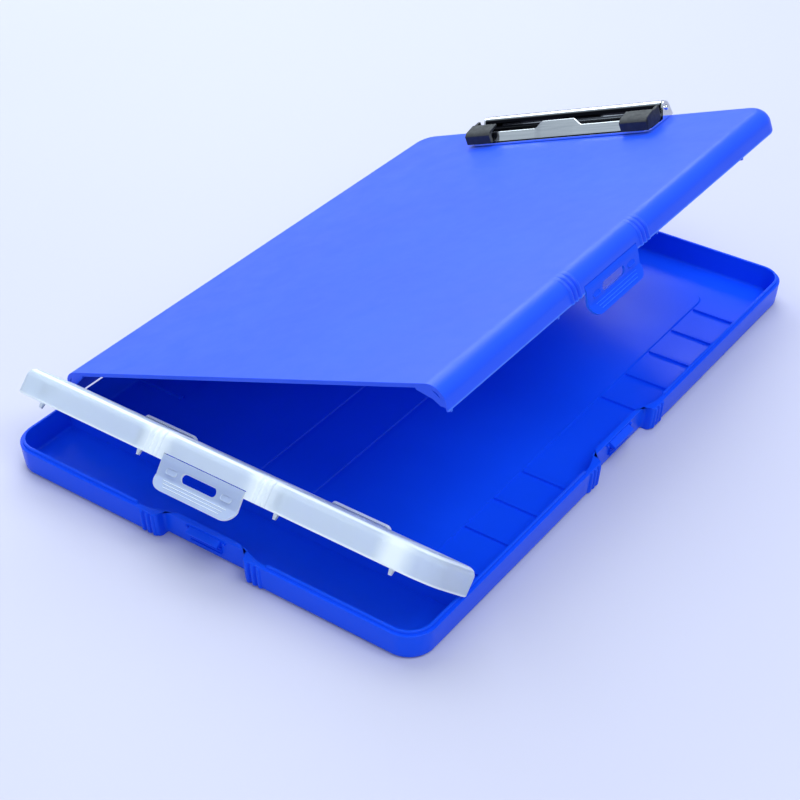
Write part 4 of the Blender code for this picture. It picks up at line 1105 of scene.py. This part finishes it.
def range_node(tree, source, low, high):
    spread = add_node(tree, "MapRange", Value=source, From_Min=NOISE_LOW, From_Max=NOISE_HIGH,
                      To_Min=low, To_Max=high)
    return spread.outputs["Result"]


def bump_node(tree, source, strength, distance, before=None):
    bump = add_node(tree, "Bump", Height=source, Strength=strength, Distance=distance)
    if before is not None:
        fill(tree, bump, Normal=before)
    return bump.outputs["Normal"]


def moulded_material(name, low, high, rough, grain):
    """Moulded plastic: slow colour drift, uneven gloss, faint flow and a fine grain."""
    material, tree, shader = new_material(name)
    colour = ramp_node(tree, noise_node(tree, 14.0, 4.0), low, high)
    gloss = range_node(tree, noise_node(tree, 60.0, 5.0), rough - 0.04, rough + 0.05)
    flow = bump_node(tree, noise_node(tree, 9.0, 1.0), 0.05, 0.0004)
    fine = bump_node(tree, noise_node(tree, 2600.0, 2.0), grain, 0.00004, flow)
    fill(tree, shader, Base_Color=colour, Roughness=gloss, Normal=fine)
    return material, shader


def blue_material(name, rough, gloss, grain=0.25):
    material, shader = moulded_material(name, BLUE_LOW, BLUE_HIGH, rough, grain)
    fill(material.node_tree, shader, Specular_IOR_Level=gloss)
    return material


def frosted_material(name):
    """Clear-frosted plastic that is milkier where ridges and prongs make it thick."""
    material, shader = moulded_material(name, (0.84, 0.91, 1.0), (0.88, 0.94, 1.0), 0.50, 0.12)
    tree = material.node_tree
    stops = []
    for middle in (FRONT_NOTCH_X - MILKY_AT, FRONT_NOTCH_X + MILKY_AT, FRONT_PRONG_X[3]):
        for shift, shade in ((-1, 0.0), (-0.25, 1.0), (0.25, 1.0), (1, 0.0)):
            stops.append(((middle + shift * MILKY_REACH) / WIDTH, shade))
    zones = zone_node(tree, "X", -WIDTH / 2, WIDTH / 2, stops)
    paint = shader.inputs["Base Color"].links[0].from_socket
    colour = mix_node(tree, zones, paint, (0.93, 0.96, 1.0, 1.0))
    clearness = add_node(tree, "MapRange", Value=zones, To_Min=0.50, To_Max=0.12)
    fill(tree, shader, Base_Color=colour, Transmission_Weight=clearness.outputs["Result"], IOR=1.45,
         Specular_IOR_Level=0.25)
    return material


def chrome_material(name, rough=0.08):
    material, tree, shader = new_material(name)
    lines = noise_node(tree, 900.0, 3.0, 20.0, LID_TURN)
    colour = ramp_node(tree, lines, (0.80, 0.80, 0.83), (0.93, 0.93, 0.95))
    gloss = range_node(tree, noise_node(tree, 140.0, 5.0), rough - 0.03, rough + 0.05)
    fill(tree, shader, Metallic=1.0, Base_Color=colour, Roughness=gloss,
         Normal=bump_node(tree, lines, 0.05, 0.00003))
    return material, tree, shader


def jaw_material(name):
    """Bright chrome whose valley, between the rail and the roll, has a painted dark reflection: its
    colour is streaked nearly black there.
    """
    material, tree, shader = chrome_material(name)
    bright = shader.inputs["Base Color"].links[0].from_socket
    # painted reflection: near-black streaks in the valley's colour stand in for the dark surroundings
    # that the chrome mirrors
    painted_reflection = ramp_node(tree, noise_node(tree, 420.0, 1.0, 60.0, LID_TURN), (0.010, 0.010, 0.014),
                        (0.30, 0.31, 0.34), 0.50, 0.68)
    reach = CLIP_BACK_Y - CLIP_FRONT_Y
    roll_front = AXLE_Y - ROLL_RADIUS - CLIP_FRONT_Y
    stops = []
    for at, shade in ((VALLEY_REFLECTION_FROM, 0.0), (VALLEY_REFLECTION_FROM + VALLEY_REFLECTION_FADE, 1.0), (roll_front + SHEET, 1.0),
                      (roll_front + VALLEY_REFLECTION_END, 0.0)):
        stops.append((at / reach, shade))
    zones = zone_node(tree, "Y", CLIP_FRONT_Y - LENGTH / 2, CLIP_BACK_Y - LENGTH / 2, stops)
    fill(tree, shader, Base_Color=mix_node(tree, zones, bright, painted_reflection))
    return material


def rubber_material(name):
    material, tree, shader = new_material(name)
    colour = ramp_node(tree, noise_node(tree, 300.0, 5.0), (0.010, 0.010, 0.012),
                       (0.022, 0.022, 0.026))
    gloss = range_node(tree, noise_node(tree, 500.0, 4.0), 0.40, 0.62)
    grain = bump_node(tree, noise_node(tree, 1800.0, 3.0), 0.5, 0.00006)
    fill(tree, shader, Base_Color=colour, Roughness=gloss, Normal=grain)
    return material


def floor_material():
    material, tree, shader = new_material("floor_paper")
    colour = ramp_node(tree, noise_node(tree, 3.0, 2.0), FLOOR_LOW, FLOOR_HIGH)
    grain = bump_node(tree, noise_node(tree, 700.0, 3.0), 0.05, 0.0001)
    fill(tree, shader, Base_Color=colour, Roughness=0.7, Normal=grain)
    return material


# ---------------------------------------------------------------- assembly
def opened(mesh, joint_names):
    """Move a piece drawn shut to where it rests: each joint turns from its lower limit to 0."""
    place = Matrix.Translation((-WIDTH / 2, -LENGTH / 2, 0))
    for name in joint_names:
        joint = JOINTS[name]
        pivot = Vector(joint["pos_m"])
        swing = Matrix.Rotation(-math.radians(joint["range_deg"][0]), 4, Vector(joint["axis"]))
        place = Matrix.Translation(pivot) @ swing @ Matrix.Translation(-pivot) @ place
    mesh.transform(place)


def cover_highlight_faces(face):
    """Faces of the pen cover that get a painted highlight, a lighter frosted colour: lower rim, prongs,
    window ends, top edge.
    """
    low_rim = face.center.z < SKIRT_Z + RIM_HIGHLIGHT_BAND
    across = face.normal.x
    window_end = abs(across) > 0.9 and abs(face.center.x - FRONT_NOTCH_X) < FLAP_HALF + 2 * GAP
    top_edge = 0.72 < face.normal.z < 0.97 and face.center.z > TOP_Z - COVER_EDGE
    return low_rim or window_end or top_edge


def thin_highlight_faces(face):
    """Edge faces of an upright leaf that lies along X, which get a painted highlight."""
    return abs(face.normal.y) < 0.5


def side_highlight_faces(face):
    """Edge faces of an upright leaf that lies along Y, which get a painted highlight."""
    return abs(face.normal.x) < 0.5


def lid_highlight_rim(face):
    """Lower rim of the lid, which gets a painted highlight."""
    return face.center.z < SKIRT_Z + RIM_HIGHLIGHT_BAND and face.normal.z < 0.3


def add_piece(name, mesh, material, body, node, joint_names=(), soft=0.00012, edge=None):
    """One visible piece that stands for one CAD node; soft is the width of its broken edges. edge, when
    given, is a lighter material and the test for the faces that get it: a painted highlight.
    """
    mesh.materials.clear()
    mesh.materials.append(material)
    if edge is not None:
        mesh.materials.append(edge[0])
        for face in mesh.polygons:
            face.material_index = 1 if edge[1](face) else 0
    opened(mesh, joint_names)
    piece = bpy.data.objects.new(name, mesh)
    bpy.context.collection.objects.link(piece)
    if soft:
        bevel = piece.modifiers.new("broken_edges", "BEVEL")
        bevel.width = soft
        bevel.segments = 2
        bevel.limit_method = "ANGLE"
        bevel.angle_limit = SHARP
        bevel.use_clamp_overlap = True
        # the broken edges also get the painted highlight material when there is one
        bevel.material = -1 if edge is None else 1
    mesh.shade_smooth()
    mesh.set_sharp_from_angle(angle=SHARP)
    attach(piece, body)
    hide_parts(node)
    return piece


def add_moulded():
    blue = blue_material("blue_moulded", 0.40, 0.42)
    glossy = blue_material("blue_glossy", 0.22, 0.12)
    flap_blue = blue_material("blue_flap", 0.40, 0.15)
    frosted = frosted_material("frosted_moulded")
    # painted highlight: a lighter, less clear copy of the frosted plastic for edges and rims
    frosted_highlight, shader = moulded_material("frosted_edge_highlight", (0.92, 0.96, 1.0), (0.96, 0.98, 1.0), 0.5, 0.1)
    fill(frosted_highlight.node_tree, shader, Transmission_Weight=0.10)
    clear, shader = moulded_material("frosted_thin", (0.66, 0.75, 0.90), (0.70, 0.79, 0.94), 0.40,
                                     0.12)
    fill(clear.node_tree, shader, Transmission_Weight=0.55, Specular_IOR_Level=0.25)
    # painted highlight: a lighter copy of the blue plastic for the lid's rim and the flap's edges
    blue_highlight = moulded_material("blue_edge_highlight", (0.02, 0.16, 0.95), (0.03, 0.18, 1.0), 0.34, 0.1)[0]
    lid_way = ("lid_hinge",)
    cover_way = ("pen_cover_hinge",)
    add_piece("tray_body", tray_mesh(), glossy, "tray", "tray")
    add_piece("lid_body", lid_mesh(), blue, "lid", "lid",
              lid_way, soft=0.00030, edge=(blue_highlight, lid_highlight_rim))
    add_piece("pen_cover_body", cover_mesh(), frosted, "pen_cover",
              "pen_cover", cover_way, soft=0.00025, edge=(frosted_highlight, cover_highlight_faces))
    add_piece("lid_flap_body", at_side_notch(flap_mesh()), flap_blue, "lid_flap",
              "lid_latch_flap", ("lid_hinge", "lid_latch"), soft=0.00020,
              edge=(blue_highlight, side_highlight_faces))
    add_piece("cover_flap_body", at_front_notch(flap_mesh()), clear, "cover_flap",
              "pen_cover_latch_flap", ("pen_cover_hinge", "pen_cover_latch"),
              soft=0.00020, edge=(frosted_highlight, thin_highlight_faces))
    for k, middle in enumerate(COVER_HINGE_X):
        add_piece(f"guard_{k + 1}", guard_mesh(middle), clear, "tray", f"hinge_guard_{k + 1}",
                  soft=0.00020, edge=(frosted_highlight, thin_highlight_faces))


def add_pins(steel):
    lid = ("y", LID_AXIS, PIN_RADIUS, LID_PIN_LENGTH / 2, LID_HINGE_Y)
    cover = ("x", COVER_AXIS, COVER_PIN_RADIUS, COVER_PIN_LENGTH / 2, COVER_HINGE_X)
    for name, node, pins in (("lid_pin", "lid_hinge_pin", lid),
                             ("cover_pin", "pen_cover_hinge_pin", cover)):
        axis, centre, radius, reach, middles = pins
        for k, middle in enumerate(middles):
            mesh = pin_mesh(axis, centre, radius, middle - reach, middle + reach)
            add_piece(f"{name}_{k + 1}", mesh, steel, "tray", f"{node}_{k + 1}", soft=0)


def add_clip(steel):
    chrome = chrome_material("bright_chrome")[0]
    rubber = rubber_material("black_rubber")
    way = ("lid_hinge",)
    add_piece("clip_plate", plate_mesh(), chrome, "lid", "clip_base_plate", way)
    reach = CLIP_HALF + AXLE_RADIUS
    axle = pin_mesh("x", CLIP_AXIS, AXLE_RADIUS, CLIP_X - reach, CLIP_X + reach)
    add_piece("clip_rod", axle, chrome, "lid", "clip_axle", way, soft=0)
    for k, x in enumerate(RIVET_X):
        add_piece(f"rivet_{k + 1}", rivet_mesh(x), chrome, "lid", f"clip_rivet_{k + 1}",
                  way, soft=0)
    for k, side in enumerate((-1, 1)):
        add_piece(f"spring_{k + 1}", spring_mesh(CLIP_X + side * SPRING_OFFSET), steel, "lid",
                  f"clip_spring_{k + 1}", way, soft=0)
        add_piece(f"corner_cap_{k + 1}", cap_mesh(side), rubber, "clip_jaw",
                  f"clip_corner_cap_{k + 1}", way, soft=0.0004)
    add_piece("jaw", jaw_mesh(), jaw_material("jaw_chrome_painted_reflection"), "clip_jaw", "clip_jaw",
              way, soft=0)


# ---------------------------------------------------------------- floor, light and camera
FLOOR_LOW = (0.590, 0.560, 0.680)
FLOOR_HIGH = (0.600, 0.570, 0.690)
FLOOR_HALF = 6.0
SKY_LOW = (0.56, 0.66, 0.78)     # slightly darker towards the horizon, for the chrome
SKY_HIGH = (0.74, 0.88, 1.0)
SKY_STRENGTH = 0.56
LIGHT_COLOUR = (0.84, 0.94, 1.0)
LIGHTS = (                       # name, place, size, power
    ("key", (1.0, -0.2, 1.8), (1.1, 1.1), 18.0),
    ("top", (-0.6, 0.5, 1.8), (1.6, 1.2), 24.0),
    ("back", (-1.3, 1.2, 1.0), (1.6, 0.7), 13.0),
    ("fill", (0.1, -1.6, 0.8), (1.4, 0.8), 4.0),
)
CAMERA_AT = (0.41035, -0.59345, 0.51001)
CAMERA_AIM = (0.00244, -0.02503, 0.0)
CAMERA_LENS = 77.2
CAMERA_SENSOR = 36.0
CAMERA_ROLL = -0.24


def add_floor():
    """Flat pale floor that reaches far past the edges of the picture."""
    half = FLOOR_HALF
    corners = ((-half, -half), (half, -half), (half, half), (-half, half))
    verts = [(x, y, -HAIR) for x, y in corners]
    mesh = bpy.data.meshes.new("floor")
    mesh.from_pydata(verts, [], [(0, 1, 2, 3)])
    mesh.materials.append(floor_material())
    floor = bpy.data.objects.new("floor", mesh)
    bpy.context.collection.objects.link(floor)


def add_area(name, location, size, power):
    light = bpy.data.lights.new(name, "AREA")
    light.shape = "RECTANGLE"
    light.size, light.size_y = size
    light.energy = power
    light.color = LIGHT_COLOUR
    lamp = bpy.data.objects.new(name, light)
    lamp.location = location
    lamp.rotation_euler = (-Vector(location)).to_track_quat("-Z", "Y").to_euler()
    bpy.context.collection.objects.link(lamp)


def add_light():
    world = bpy.data.worlds.new("studio")
    bpy.context.scene.world = world
    world.use_nodes = True
    tree = world.node_tree
    sky = ramp_node(tree, place_node(tree, "Z", "Generated"), SKY_LOW, SKY_HIGH, 0.16, 0.42)
    fill(tree, tree.nodes["Background"], Color=sky, Strength=SKY_STRENGTH)
    for name, location, size, power in LIGHTS:
        add_area(name, location, size, power)


def add_camera():
    camera = bpy.data.objects.new("camera", bpy.data.cameras.new("camera"))
    camera.data.lens = CAMERA_LENS
    camera.data.sensor_width = CAMERA_SENSOR
    camera.location = CAMERA_AT
    look = (Vector(CAMERA_AIM) - Vector(CAMERA_AT)).to_track_quat("-Z", "Y").to_matrix().to_4x4()
    look = look @ Matrix.Rotation(math.radians(CAMERA_ROLL), 4, "Z")
    camera.rotation_euler = look.to_euler()
    bpy.context.collection.objects.link(camera)
    bpy.context.scene.camera = camera
    bpy.context.scene.view_settings.view_transform = "Standard"


add_moulded()
STEEL = chrome_material("drawn_steel", 0.22)[0]
add_pins(STEEL)
add_clip(STEEL)
add_floor()
add_light()
add_camera()

bpy.context.view_layer.update()
